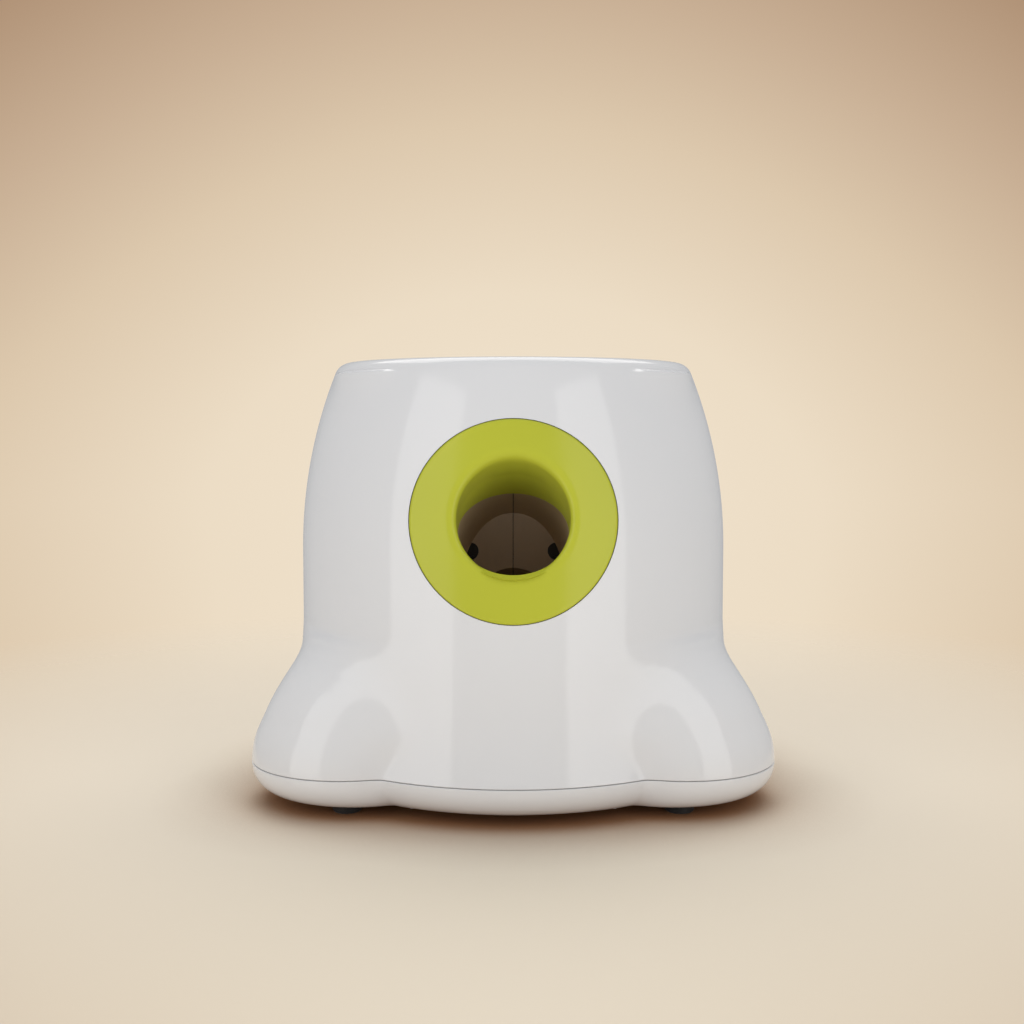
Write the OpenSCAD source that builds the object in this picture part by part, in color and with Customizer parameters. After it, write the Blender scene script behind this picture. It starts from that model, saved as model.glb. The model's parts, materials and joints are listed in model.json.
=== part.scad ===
// Automatic ball launcher for dogs: a round hopper body on a three-lobed base.
// Millimetres, +Z up, mouth towards -Y. The origin is the centre of the bounding box at floor level.

/* [Body] */
// Radius of the drum at its widest, above the lobes
drum_r = 121.5; // [120.5:0.5:123]
// Height at which the drum starts to draw in towards the rim
belly_z = 130; // [120:1:135]
// Height of the hopper rim above the floor
rim_z = 236; // [234:0.5:240]
// Radius of the drum just under the rounded rim
rim_r = 103.5; // [102:0.5:106]
// Rounding of the rim
rim_corner_r = 9; // [6:0.5:10]
// Thickness of the shell wall
wall = 3; // [2.5:0.1:3.4]
// Radius of the drum's skirt where it meets the base tray
skirt_r = 130.5; // [128:0.5:132]
// Height at which the skirt's flare has died away
flare_z = 66; // [55:1:75]

/* [Lobes] */
// Distance from the drum axis to the centre of each lobe
lobe_centre_r = 107.5; // [105:0.5:109]
// Radius of each lobe at the seam
lobe_r = 53; // [50:0.5:55]
// Angle of the two front lobes away from straight ahead
lobe_angle = 55; // [50:1:62]
// Height of the lobe's dome above the seam
lobe_h = 60; // [54:1:64]

/* [Base] */
// Height of the seam between the shell and the base tray
seam_z = 22; // [20:0.5:24]
// Width of the seam
seam_gap = 0.4; // [0.3:0.1:0.8]
// Height of the tray's underside above the floor
tray_z = 4; // [3:0.5:5]
// Rounding of the tray's lower edge
tray_edge_r = 16; // [12:1:17]
// Radius of a rubber foot
foot_r = 7.5; // [6:0.5:8]
// Distance from the drum axis to each foot
foot_ring_r = 125.2; // [122:0.2:127]

/* [Mouth] */
// Inner radius of the launch tube: a 50.8 mm ball and its clearance
throat_r = 28.5; // [27.5:0.5:28.5]
// Radius of the ring's flange on the drum
flange_r = 52; // [50:0.5:53]
// Height of the flange's centre
flange_z = 153.5; // [152:0.5:155]
// Height of the launch axis where it crosses the mouth
mouth_z = 156; // [154:0.5:157]
// Distance of that crossing in front of the drum axis
mouth_reach = 114; // [113:0.5:115]
// Tilt of the launch axis above the horizontal
launch_tilt = 24; // [23:0.5:25]
// How far the ring stands proud of the drum
proud = 0.6; // [0.3:0.1:1]

/* [Launcher] */
// Inner radius of the ball chute under the hopper
chute_r = 34; // [33.5:0.5:34.5]
// Inner radius of the striker's bore
bore_r = 21.5; // [21.5:0.1:21.8]
// Distance along the launch axis from the mouth to the striker's face
striker_a = 166; // [165:0.5:167]
// Length of the striker cup
striker_len = 26; // [25:0.5:26]
// Travel of the striker between rest and cocked
stroke = 36; // [34:1:36]
// Wire diameter of the launch spring
spring_wire = 2.4; // [2:0.1:2.5]
// Number of turns in the launch spring
spring_turns = 9; // [8:1:9]

/* [Gears] */
// Module of the rack and of the sector that pulls it
rack_module = 2; // [2:1:2]
// Teeth that the sector would have if it were whole
sector_full_teeth = 20; // [20:1:20]
// Teeth that the sector keeps
sector_teeth = 7; // [7:1:7]
// Module of the reduction gears
train_module = 1; // [1:1:1]
// Teeth of the gear that turns the sector
final_teeth = 44; // [44:1:44]
// Teeth of the two larger reduction wheels
wheel_teeth = 40; // [40:1:40]
// Teeth of the three pinions
pinion_teeth = 10; // [10:1:10]
// Pressure angle of all the teeth
pressure_angle = 25; // [25:1:25]

/* [Drive and power] */
// Radius of the motor's can
motor_r = 14; // [12:0.5:14]
// Length of the motor's can
motor_len = 38; // [30:1:38]
// Radius of a size C cell
cell_r = 13.1; // [13.1:0.1:13.1]
// Length of a size C cell
cell_len = 50; // [50:0.5:50]

/* [Controls] */
// Height of the control panel's centre on the back of the drum
panel_z = 178; // [176:1:180]
// Radius of the control panel
panel_r = 24; // [23:0.5:25]
// Radius of the power button
button_r = 9; // [8:0.5:9.5]
// Travel of the power button
button_travel = 0.8; // [0.5:0.1:0.8]
// Height of the low-voltage socket in the rear lobe
jack_z = 36; // [35:0.5:37]

/* [Hidden] */
$fn = 72;

// The drum axis stands in front of the bounding box's centre, because the rear lobe reaches further out.
drum_y = -(lobe_centre_r + lobe_r - skirt_r) / 2;
// Angles of the lobes in plan, measured from +X.
lobe_angles = [-90 - lobe_angle, -90 + lobe_angle, 90];
// Radius of the arc in which the drum draws in, from its rise and its draw.
belly_rise = rim_z - rim_corner_r - belly_z;
belly_draw = drum_r - rim_r;
belly_arc_r = (belly_rise * belly_rise + belly_draw * belly_draw) / (2 * belly_draw);
// Blending of a lobe into the drum: tight at the seam, wide at the top of the dome.
blend_low = 5;
blend_high = 35;
dome_power = 1.8;
edge_softness = 0.35;
blend_fade = 13;
skirt_top_z = 97;
// Clearance between pieces that don't touch, and the running clearance of a shaft.
gap = 0.35;
running = 0.06;

// Shape of the shell.
// Radius of the drum above its skirt at height z.
function barrel_radius(z) =
    z > rim_z - rim_corner_r
        ? rim_r - rim_corner_r + sqrt(max(pow(rim_corner_r, 2) - pow(z - rim_z + rim_corner_r, 2), 0))
        : z > belly_z
            ? drum_r - belly_arc_r + sqrt(pow(belly_arc_r, 2) - pow(z - belly_z, 2))
            : drum_r;
// Radius of the drum with its skirt.
function drum_radius(z) =
    barrel_radius(z) + (skirt_r - drum_r) * pow(max(flare_z - z, 0) / (flare_z - seam_z), 2);
// Radius of a lobe's round plan at height z.
function lobe_radius(z) = lobe_r * sqrt(max(1 - pow(max(z - seam_z, 0) / lobe_h, dome_power), 0));
// Reach of a lobe from the drum axis, at an angle away from its middle; past its edge it falls away softly.
function lobe_reach(away, z) =
    let (r = lobe_radius(z), left = pow(r, 2) - pow(lobe_centre_r * sin(away), 2))
    lobe_centre_r * cos(away) + sqrt((left + sqrt(pow(left, 2) + pow(edge_softness * r, 4))) / 2);
// The larger of two values, rounded over the width k where they are close.
function smooth_max(a, b, k) = max(a, b) + pow(max(k - abs(a - b), 0), 2) / (4 * k);
// The blend dies away between the top of the dome and the top of the skirt.
function blend_width(z) =
    let (rise = min(max(z - seam_z, 0) / lobe_h, 1),
        fade = min(max(skirt_top_z - 2 - z, 0) / blend_fade, 1))
    blend_low + (blend_high - blend_low) * rise * fade;
// Radius of the whole outline in direction angle at height z.
function shell_radius(angle, z) =
    let (reach = max([for (middle = lobe_angles) lobe_reach(angle - middle, z)]))
    smooth_max(drum_radius(z), reach, blend_width(z));

// Sectors round the outline, and the heights of the rings of the shell's lower part.
sectors = 120;
skirt_rings = [30, 38, 46, 54, 61, 67, 72, 76.5, 80.5, 84.5, 88.5, 92];
// Height over which the skirt laps into the drum's wall, and its distance inside that wall's faces.
lap = 1.5;
tuck = 0.1;
function ring(z, inset) =
    [for (i = [0 : sectors - 1])
        let (angle = i * 360 / sectors, r = shell_radius(angle, z) - inset)
        [r * cos(angle), r * sin(angle), z]];
function ring_at(source_z, z, inset) = [for (p = ring(source_z, inset)) [p[0], p[1], z]];
// Two triangles between neighbouring rings, for each sector; the rings turn anticlockwise.
function band(from, to) =
    [for (i = [0 : sectors - 1])
        let (j = (i + 1) % sectors)
        each [[from + i, to + i, to + j], [from + i, to + j, from + j]]];

function polar(r, angle) = [r * cos(angle), r * sin(angle)];

module at_drum() {
    translate([0, drum_y, 0]) children();
}

// Launch frame: +Y runs inwards along the launch axis from the mouth, +Z stands square to it.
module launch_frame() {
    translate([0, drum_y - mouth_reach, mouth_z]) rotate([-launch_tilt, 0, 0]) children();
}

module along_y(from, to, r) {
    translate([0, from, 0]) rotate([-90, 0, 0]) cylinder(h = to - from, r = r);
}

module along_x(from, to, r) {
    translate([from, 0, 0]) rotate([0, 90, 0]) cylinder(h = to - from, r = r);
}

// A profile drawn in the launch frame's Y and Z, made solid between two values of X.
module slab(from, to) {
    translate([from, 0, 0]) rotate([90, 0, 90]) linear_extrude(to - from) children();
}

// Box between two corners.
module box(low, high) {
    translate(low) cube(high - low);
}

// Shell.
shell_screw_away = 15;
shell_boss_ring_r = 134.5;
front_boss_r = 115;
shell_boss_r = 5;
shell_boss_top_z = 34;
shell_rib_t = 2.4;
pilot_r = 1.5;
// Angle and distance from the drum axis of each screw that holds the shell on the tray.
shell_screws = concat(
    [for (middle = lobe_angles, side = [-1, 1]) [middle + side * shell_screw_away, shell_boss_ring_r]],
    [[-90, front_boss_r]]);
shell_screw_places = [for (screw = shell_screws) polar(screw[1], screw[0])];
ledge_r = 92;
rim_steps = [0 : 15 : 90];
// Heights at which the drum's outline has a corner: none of them is the middle height of an opening.
belly_steps = [skirt_top_z - lap, belly_z, 147, 161, 171, 183, 195, 207, 220];
hopper_screw_ring_r = 95.4;
hopper_flange_z = 228;
hopper_flange_t = 2.5;
ring_screw_offset = 45;
ring_disc_y = -98;
ring_disc_t = 2.4;

module shell_skirt() {
    rings = concat(
        [ring(seam_z + seam_gap / 2, 0)],
        [for (z = skirt_rings) ring(z, 0)],
        [ring(skirt_top_z - lap - tuck, tuck)],
        [ring(skirt_top_z, 3 * tuck)],
        [ring(skirt_top_z, wall - 3 * tuck)],
        [ring(skirt_top_z - lap - tuck, wall - tuck)],
        [for (i = [len(skirt_rings) - 1 : -1 : 0]) ring(skirt_rings[i], wall)],
        [ring(seam_z + seam_gap / 2, wall)]);
    count = len(rings);
    polyhedron(
        points = [for (r = rings) each r],
        faces = [for (k = [0 : count - 1]) each band(k * sectors, ((k + 1) % count) * sectors)],
        convexity = 6);
}

// Half section of the drum, drawn in by an inset.
module drum_section(inset) {
    polygon(concat(
        [[0, belly_steps[0]]],
        [for (z = belly_steps) [barrel_radius(z) - inset, z]],
        [for (a = rim_steps)
            [rim_r - rim_corner_r + (rim_corner_r - inset) * cos(a),
             rim_z - rim_corner_r + (rim_corner_r - inset) * sin(a)]],
        [[0, rim_z - inset]]));
}

module drum_wall() {
    rotate_extrude($fn = 180) difference() {
        drum_section(0);
        translate([0, -1]) square([ledge_r, rim_z + 2]);
        drum_section(wall);
    }
}

// Boss for a screw from below, with a rib that ends inside the shell's wall.
module shell_boss(angle, distance) {
    height = shell_boss_top_z - seam_z;
    wall_r = shell_radius(angle, shell_boss_top_z) - wall / 2;
    rotate(angle) translate([0, 0, seam_z + seam_gap / 2]) {
        translate([distance, 0, 0]) cylinder(h = height, r = shell_boss_r);
        translate([distance, -shell_rib_t / 2, 0]) cube([wall_r - distance, shell_rib_t, height]);
    }
}

module hopper_bosses() {
    for (a = [45 : 90 : 315]) {
        rotate(a) translate([hopper_screw_ring_r, 0, hopper_flange_z + hopper_flange_t])
            cylinder(h = rim_z - 2 - hopper_flange_z - hopper_flange_t, r = 3.5);
    }
}

module ring_bosses() {
    for (x = [-1, 1], z = [-1, 1]) {
        translate([x * ring_screw_offset, 0, flange_z + z * ring_screw_offset])
            along_y(-ring_boss_reach(z), ring_disc_y, 4);
    }
}

// The boss ends inside the shell's wall, which stands further back near the rim.
function ring_boss_reach(side) =
    sqrt(pow(barrel_radius(flange_z + side * ring_screw_offset) - 2.2, 2) - pow(ring_screw_offset + 3, 2));

// The drum with its bosses, cut for the mouth ring and for the control panel.
module shell_top() {
    difference() {
        union() {
            drum_wall();
            hopper_bosses();
            ring_bosses();
        }
        translate([0, 0, flange_z]) along_y(-drum_r - 10, -60, flange_r + gap);
        translate([0, 0, panel_z]) along_y(60, drum_r + 10, panel_r + gap);
        for (a = [45 : 90 : 315]) {
            rotate(a) translate([hopper_screw_ring_r, 0, hopper_flange_z]) cylinder(h = 5.5, r = 1.25);
        }
        for (x = [-1, 1], z = [-1, 1]) {
            translate([x * ring_screw_offset, 0, flange_z + z * ring_screw_offset])
                along_y(ring_disc_y - 2.6, ring_disc_y + 1, pilot_r);
        }
    }
}

// The lobes with their bosses, cut for the low-voltage socket and for the screws from below.
module shell_low() {
    difference() {
        union() {
            shell_skirt();
            for (screw = shell_screws) shell_boss(screw[0], screw[1]);
            translate([0, 0, jack_z]) along_y(jack_seat_y - 6, jack_seat_y + 0.5, jack_boss_r);
        }
        translate([0, 0, jack_z]) along_y(130, 180, 6);
        translate([0, 0, jack_z]) along_y(jack_seat_y, 180, 8);
        for (place = shell_screw_places) {
            translate([place[0], place[1], seam_z - 1])
                cylinder(h = shell_boss_top_z - seam_z - 1, r = pilot_r);
        }
    }
}

module upper_shell() {
    color("whitesmoke") at_drum() {
        shell_top();
        shell_low();
    }
}

// Base tray.
tray_floor_t = 3.5;
tray_floor_z = tray_z + tray_floor_t;
box_x = 52;
box_front_y = -100;
box_back_y = -18;
box_top_z = 33.8;
box_wall = 2;
cover_margin = 1;
cover_t = 1.8;
leg_boss_top_z = 18;
front_leg = [22, 6];
rear_leg = [16, 84];
leg_r = 6.5;
leg_places = [for (p = [front_leg, rear_leg], side = [-1, 1]) [side * p[0], p[1]]];
cover_screw_x = 44;
cover_screw_y = box_back_y + 7;
// Inset of the tray's outline at height z, where its lower edge is rounded.
function tray_inset(z) =
    tray_edge_r - sqrt(pow(tray_edge_r, 2) - pow(max(tray_z + tray_edge_r - z, 0), 2));
tray_outer_rings = [tray_z, tray_z + 0.4, tray_z + 1.6, tray_z + 3.5, 10, 14, 18];
tray_inner_rings = [18, 12, 9];

module tray_bowl() {
    top_z = seam_z - seam_gap / 2;
    rings = concat(
        [for (z = tray_outer_rings) ring_at(seam_z, z, tray_inset(max(z, tray_z)))],
        [ring_at(seam_z, top_z, 0)],
        [ring_at(seam_z, top_z, wall)],
        [for (z = tray_inner_rings) ring_at(seam_z, z, tray_inset(z) + wall)],
        [ring_at(seam_z, tray_floor_z, tray_inset(tray_floor_z) + wall + 1)]);
    count = len(rings);
    low_centre = count * sectors;
    high_centre = low_centre + 1;
    last = (count - 1) * sectors;
    polyhedron(
        points = concat([for (r = rings) each r], [[0, 0, tray_outer_rings[0]], [0, 0, tray_floor_z]]),
        faces = concat(
            [for (k = [0 : count - 2]) each band(k * sectors, (k + 1) * sectors)],
            [for (i = [0 : sectors - 1]) [low_centre, i, (i + 1) % sectors]],
            [for (i = [0 : sectors - 1]) [high_centre, last + (i + 1) % sectors, last + i]]),
        convexity = 6);
}

module tray_posts() {
    for (place = shell_screw_places) {
        translate([place[0], place[1], tray_floor_z - 1])
            cylinder(h = seam_z - seam_gap / 2 - tray_floor_z + 1, r = shell_boss_r);
    }
    for (place = leg_places) {
        translate([place[0], place[1], tray_floor_z - 1])
            cylinder(h = leg_boss_top_z - tray_floor_z + 1, r = leg_r);
    }
    for (side = [-1, 1]) {
        translate([side * cover_screw_x, cover_screw_y, tray_floor_z - 1]) cylinder(h = 9, r = 4);
    }
}

module base_tray() {
    color("whitesmoke") at_drum() difference() {
        union() {
            tray_bowl();
            tray_posts();
            box([-box_x - box_wall, box_front_y - box_wall, tray_floor_z - 1],
                [box_x + box_wall, box_back_y + box_wall, box_top_z + box_wall]);
        }
        box([-box_x, box_front_y, tray_z - 1], [box_x, box_back_y, box_top_z]);
        box([-box_x - cover_margin - gap, box_front_y - cover_margin - gap, tray_z - 1],
            [box_x + cover_margin + gap, box_back_y + 12 + gap, tray_z + cover_t + 0.2]);
        for (place = shell_screw_places) {
            translate([place[0], place[1], 0]) cylinder(h = 40, r = 1.7);
            translate([place[0], place[1], 0]) cylinder(h = 12, r = 3.3);
        }
        for (place = leg_places) {
            translate([place[0], place[1], 0]) cylinder(h = 40, r = 1.9);
            translate([place[0], place[1], 0]) cylinder(h = 9, r = 3.6);
        }
        for (side = [-1, 1]) {
            translate([side * cover_screw_x, cover_screw_y, tray_z]) cylinder(h = 10, r = 1.25);
        }
        for (place = foot_places) {
            translate([place[0], place[1], 0]) cylinder(h = 20, r = 3.1);
        }
    }
}

foot_front_angle = 44;
foot_angles = [-90 - foot_front_angle, -90 + foot_front_angle, 90];
foot_places = [for (angle = foot_angles) polar(foot_ring_r, angle)];

// A rubber foot with a stem that snaps through the tray.
foot_chamfer = 0.8;
foot_stem_r = 3;
foot_barb_r = 4.2;
foot_barb_h = 2.6;
module foot(index) {
    place = foot_places[index];
    seat_z = tray_z - 0.05;
    barb_z = tray_floor_z + 0.1;
    color("black") at_drum() translate([place[0], place[1], 0]) rotate_extrude() polygon([
        [0, 0], [foot_r - foot_chamfer, 0], [foot_r, foot_chamfer], [foot_r, seat_z], [foot_stem_r, seat_z],
        [foot_stem_r, barb_z], [foot_barb_r, barb_z], [foot_stem_r - 0.6, barb_z + foot_barb_h],
        [0, barb_z + foot_barb_h]]);
}

module foot_left() {
    foot(0);
}

module foot_right() {
    foot(1);
}

module foot_rear() {
    foot(2);
}

// Hopper: a bowl on a spout that drops one ball at a time into the chute.
spout_r = 31;
spout_t = 2.3;
spout_bottom_z = 166;
bowl_foot_z = 178;
bowl_top_r = 86.5;
bowl_shoulder_z = 224;

bowl_flange_r = 99;

module hopper_funnel() {
    collar_r = ledge_r - gap;
    flange_top_z = hopper_flange_z + hopper_flange_t - 0.1;
    color("whitesmoke") at_drum() difference() {
        rotate_extrude($fn = 144) polygon([
            [spout_r, spout_bottom_z], [spout_r, bowl_foot_z], [spout_r + 2, bowl_foot_z + 3.4],
            [bowl_top_r - 4, bowl_shoulder_z - 4], [bowl_top_r, bowl_shoulder_z + 1],
            [collar_r - 3.4, rim_z - 1.6], [collar_r - 2.6, rim_z - 0.4], [collar_r - 1.6, rim_z],
            [collar_r - 0.4, rim_z], [collar_r, rim_z - 0.4], [collar_r, flange_top_z],
            [bowl_flange_r, flange_top_z], [bowl_flange_r, hopper_flange_z],
            [bowl_top_r + 2, hopper_flange_z],
            [bowl_top_r + 2.4, bowl_shoulder_z + 0.4], [bowl_top_r - 2, bowl_shoulder_z - 6],
            [spout_r + spout_t + 2, bowl_foot_z + 1], [spout_r + spout_t, bowl_foot_z - 3],
            [spout_r + spout_t, spout_bottom_z]]);
        for (a = [45 : 90 : 315]) {
            rotate(a) translate([hopper_screw_ring_r, 0, hopper_flange_z - 1]) cylinder(h = 5, r = 1.6);
        }
    }
}

// Mouth ring: its flange follows the drum, and its tube is cut askew where the white chamber takes over.
tube_outer_r = 31;
skirt_outer_r = 50.5;
cut_a = 23;
cut_lean = 35;
patch_steps = [95, 110, 122, 130, 138, 147, 161, 171, 183, 195, 207, 212];

// Solid between two offsets from the drum's surface, inside a cylinder along Y.
module drum_patch(z, r, inner, outer, side) {
    intersection() {
        rotate_extrude($fn = 180) polygon(concat(
            [for (h = patch_steps) [barrel_radius(h) + outer, h]],
            [for (i = [len(patch_steps) - 1 : -1 : 0])
                [barrel_radius(patch_steps[i]) + inner, patch_steps[i]]]));
        translate([0, 0, z]) along_y(side < 0 ? -140 : 60, side < 0 ? -60 : 140, r);
    }
}

// The drum above its skirt as a solid, drawn in by an inset.
module drum_core(inset) {
    rotate_extrude($fn = 180) polygon(concat(
        [[0, patch_steps[0]]],
        [for (h = patch_steps) [barrel_radius(h) - inset, h]],
        [[0, patch_steps[len(patch_steps) - 1]]]));
}

// Everything past the askew cut, moved inwards by a distance.
module past_cut(shift) {
    translate([0, cut_a + shift, 0]) rotate([-cut_lean, 0, 0]) box([-90, 0, -120], [90, 300, 120]);
}

// Short wall behind the flange, and the disc that its screws go through.
module ring_back() {
    difference() {
        union() {
            intersection() {
                along_y(-drum_r, ring_disc_y + 1, skirt_outer_r);
                translate([0, 0, -flange_z]) drum_core(1);
            }
            intersection() {
                union() {
                    along_y(ring_disc_y, ring_disc_y + ring_disc_t, 57);
                    for (x = [-1, 1], z = [-1, 1]) {
                        translate([x * ring_screw_offset, 0, z * ring_screw_offset])
                            along_y(ring_disc_y, ring_disc_y + ring_disc_t, 8);
                    }
                }
                translate([0, 0, -flange_z]) drum_core(wall + gap);
            }
        }
        along_y(-drum_r - 20, -60, skirt_outer_r - 2.4);
        for (x = [-1, 1], z = [-1, 1]) {
            translate([x * ring_screw_offset, 0, z * ring_screw_offset])
                along_y(ring_disc_y - 1, ring_disc_y + ring_disc_t + 1, 1.7);
        }
    }
}

module launch_tube() {
    intersection() {
        launch_frame() difference() {
            along_y(-20, 60, tube_outer_r);
            past_cut(0);
        }
        at_drum() drum_core(1);
    }
}

module mouth_ring() {
    color("yellowgreen") difference() {
        union() {
            at_drum() drum_patch(flange_z, flange_r, -wall, proud, -1);
            at_drum() translate([0, 0, flange_z]) ring_back();
            launch_tube();
        }
        launch_frame() along_y(-40, 70, throat_r);
    }
}

// Launch chamber: two halves that meet in the middle and hold barrel, chute and striker bore.
barrel_in_r = 29;
chamber_t = 2.5;
bore_out_r = bore_r + 3;
bore_end_a = 233;
chute_top_z = 174;
axis_cross_a = mouth_reach / cos(launch_tilt);
parting = 0.1;
sensor_x = 26.5;
sensor_z = 124.7;
sensor_hole_r = 5.6;
slot_half = 4.6;
slot_from_a = 170;
slot_to_a = 229;
// Screws through the parting, as distance inwards and height above the launch axis.
parting_screws = [[44, -36], [105, -36], [60, 36], [170, -35], [222, -29]];
pad_top = 27;
pad_a = [166, 214];
cap_lug_x = 28;

// Inside of the chamber, or its outside when extra is the wall's thickness.
module chamber_volume(extra) {
    outside = extra > 0;
    launch_frame() along_y(10, axis_cross_a, barrel_in_r + extra);
    intersection() {
        launch_frame() along_y(axis_cross_a - 6, axis_cross_a + 80, barrel_in_r + extra);
        at_drum() translate([0, 0, 40]) cylinder(h = 130, r = chute_r + extra);
    }
    intersection() {
        at_drum() translate([0, 0, 60])
            cylinder(h = (outside ? chute_top_z : 200) - 60, r = chute_r + extra);
        launch_frame() box([-60, -60, -extra], [60, 300, 200]);
    }
    launch_frame() along_y(axis_cross_a, bore_end_a + (outside ? 0 : 10), outside ? bore_out_r : bore_r);
}

module chamber_fittings() {
    for (place = parting_screws) {
        launch_frame() translate([0, place[0], place[1]]) along_x(-8, 8, 5);
    }
    at_drum() for (place = leg_places) {
        translate([place[0], place[1], leg_boss_top_z + 0.05])
            cylinder(h = (place[1] == front_leg[1] ? 84 : 52) - leg_boss_top_z, r = leg_r);
    }
    at_drum() for (side = [-1, 1]) {
        translate([side * sensor_x, 0, sensor_z]) along_y(18, 34, 8);
    }
    for (a = pad_a) {
        launch_frame() box([-20, a - 6, 8], [-10, a + 6, pad_top]);
        launch_frame() box([21, a - 6, -5], [34, a + 6, pad_top]);
    }
    for (side = [-1, 1]) {
        launch_frame() translate([side * cap_lug_x, 0, 0]) along_y(bore_end_a - 12, bore_end_a, 5);
    }
}

module chamber_half(side) {
    color("white") difference() {
        intersection() {
            union() {
                chamber_volume(chamber_t);
                chamber_fittings();
            }
            scale([side, 1, 1]) box([parting / 2, -200, 10], [80, 200, 200]);
            launch_frame() past_cut(0.4);
        }
        chamber_volume(0);
        for (place = parting_screws) {
            launch_frame() translate([0, place[0], place[1]]) along_x(-10, 10, side < 0 ? 1.7 : 1.5);
        }
        at_drum() for (place = leg_places) {
            translate([place[0], place[1], leg_boss_top_z - 1]) cylinder(h = 15, r = pilot_r);
        }
        at_drum() translate([side * sensor_x, 0, sensor_z]) along_y(0, 40, sensor_hole_r);
        launch_frame() box([-slot_half, slot_from_a, 0], [slot_half, slot_to_a, 40]);
        for (a = pad_a) {
            launch_frame() translate([side < 0 ? -14.5 : 28.5, a, pad_top - 10]) cylinder(h = 12, r = 1.25);
        }
        launch_frame() translate([side * cap_lug_x, 0, 0]) along_y(bore_end_a - 10, bore_end_a + 1, 1.25);
    }
}

module chamber_left() {
    chamber_half(-1);
}

module chamber_right() {
    chamber_half(1);
}

module spring_cap() {
    color("dimgray") launch_frame() difference() {
        union() {
            along_y(bore_end_a + 0.05, bore_end_a + 3.5, bore_out_r);
            along_y(bore_end_a - 3, bore_end_a + 1, bore_r - 0.3);
            for (side = [-1, 1]) {
                translate([side * cap_lug_x, 0, 0]) along_y(bore_end_a + 0.05, bore_end_a + 3.5, 5);
            }
            for (side = [-1, 1]) {
                box([side < 0 ? -cap_lug_x : bore_out_r - 3, bore_end_a + 0.05, -4],
                    [side < 0 ? -bore_out_r + 3 : cap_lug_x, bore_end_a + 3.5, 4]);
            }
        }
        along_y(bore_end_a - 5, bore_end_a + 5, 9);
        for (side = [-1, 1]) {
            translate([side * cap_lug_x, 0, 0]) along_y(bore_end_a - 1, bore_end_a + 5, 1.6);
        }
    }
}

// Striker: a cup that the spring sits in, with a rubber pad on its face and a rack on its back.
striker_r = bore_r - gap;
cup_inner_r = 17.5;
cup_face_t = 4;
pad_t = 2.6;
key_from_a = striker_a + 8;
key_to_a = striker_a + 20;
rack_half = 4;
rack_low = bore_out_r + 1;
rack_pitch = rack_low + 7.5;
sector_a = striker_a + 31;
sector_centre = [sector_a, rack_pitch + rack_module * sector_full_teeth / 2];
rack_depth = 0.8 * rack_module;
rack_from_a = 158;
rack_to_a = 203;

module striker_cup() {
    color("gainsboro") launch_frame() difference() {
        along_y(striker_a, striker_a + striker_len, striker_r);
        along_y(striker_a + cup_face_t, striker_a + striker_len + 1, cup_inner_r);
        along_y(striker_a - 1, striker_a + 0.8, striker_r - 2.6);
        box([-rack_half - 0.1, key_from_a - 0.1, 19.6], [rack_half + 0.1, key_to_a + 0.1, 30]);
    }
}

module striker_pad() {
    color("dimgray") launch_frame() along_y(striker_a + 0.8 - pad_t, striker_a + 0.8, striker_r - 2.8);
}

// Width of a rack tooth at a height above the pitch line.
function rack_tooth_half(height) = PI * rack_module / 4 - 0.08 - height * tan(pressure_angle);

module rack_bar() {
    pitch = PI * rack_module;
    top = rack_depth;
    root = -rack_depth - 0.3;
    color("silver") launch_frame() slab(-rack_half, rack_half) union() {
        translate([rack_from_a, rack_low]) square([rack_to_a - rack_from_a, rack_pitch + root - rack_low]);
        translate([key_from_a, 19.7]) square([key_to_a - key_from_a, 8]);
        for (k = [0 : sector_teeth - 1]) {
            translate([sector_a + pitch / 2 - k * pitch, rack_pitch]) polygon([
                [-rack_tooth_half(root), root - 0.2], [rack_tooth_half(root), root - 0.2],
                [rack_tooth_half(top), top], [-rack_tooth_half(top), top]]);
        }
    }
}

// Rings of a round-wire coil along +Y, and the triangles that join them.
spring_r = 14.6;
ring_sides = 6;
rings_per_turn = 14;

module launch_spring() {
    from = striker_a + cup_face_t + spring_wire / 2 + 0.05;
    to = bore_end_a - 3 - spring_wire / 2 - 0.05;
    count = spring_turns * rings_per_turn;
    points = [for (i = [0 : count], s = [0 : ring_sides - 1])
        let (turn = i * 360 / rings_per_turn,
            a = s * 360 / ring_sides,
            r = spring_r + spring_wire / 2 * cos(a))
        [r * cos(turn), from + (to - from) * i / count + spring_wire / 2 * sin(a), r * sin(turn)]];
    sides = [for (i = [0 : count - 1], s = [0 : ring_sides - 1])
        let (t = (s + 1) % ring_sides, p = i * ring_sides, q = p + ring_sides)
        each [[p + s, q + t, p + t], [p + s, q + s, q + t]]];
    color("silver") launch_frame() polyhedron(
        points = points,
        faces = concat(
            sides,
            [[for (s = [0 : ring_sides - 1]) s]],
            [[for (s = [ring_sides - 1 : -1 : 0]) count * ring_sides + s]]),
        convexity = 12);
}

// Gears. Their profiles are drawn in the launch frame's Y and Z.
final_r = train_module * final_teeth / 2;
wheel_r = train_module * wheel_teeth / 2;
pinion_r = train_module * pinion_teeth / 2;
middle_angle = 175.7;
first_angle = 125;
motor_angle = -20;
middle_centre = sector_centre + polar(final_r + pinion_r, middle_angle);
first_centre = middle_centre + polar(wheel_r + pinion_r, first_angle);
motor_centre = first_centre + polar(wheel_r + pinion_r, motor_angle);
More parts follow.
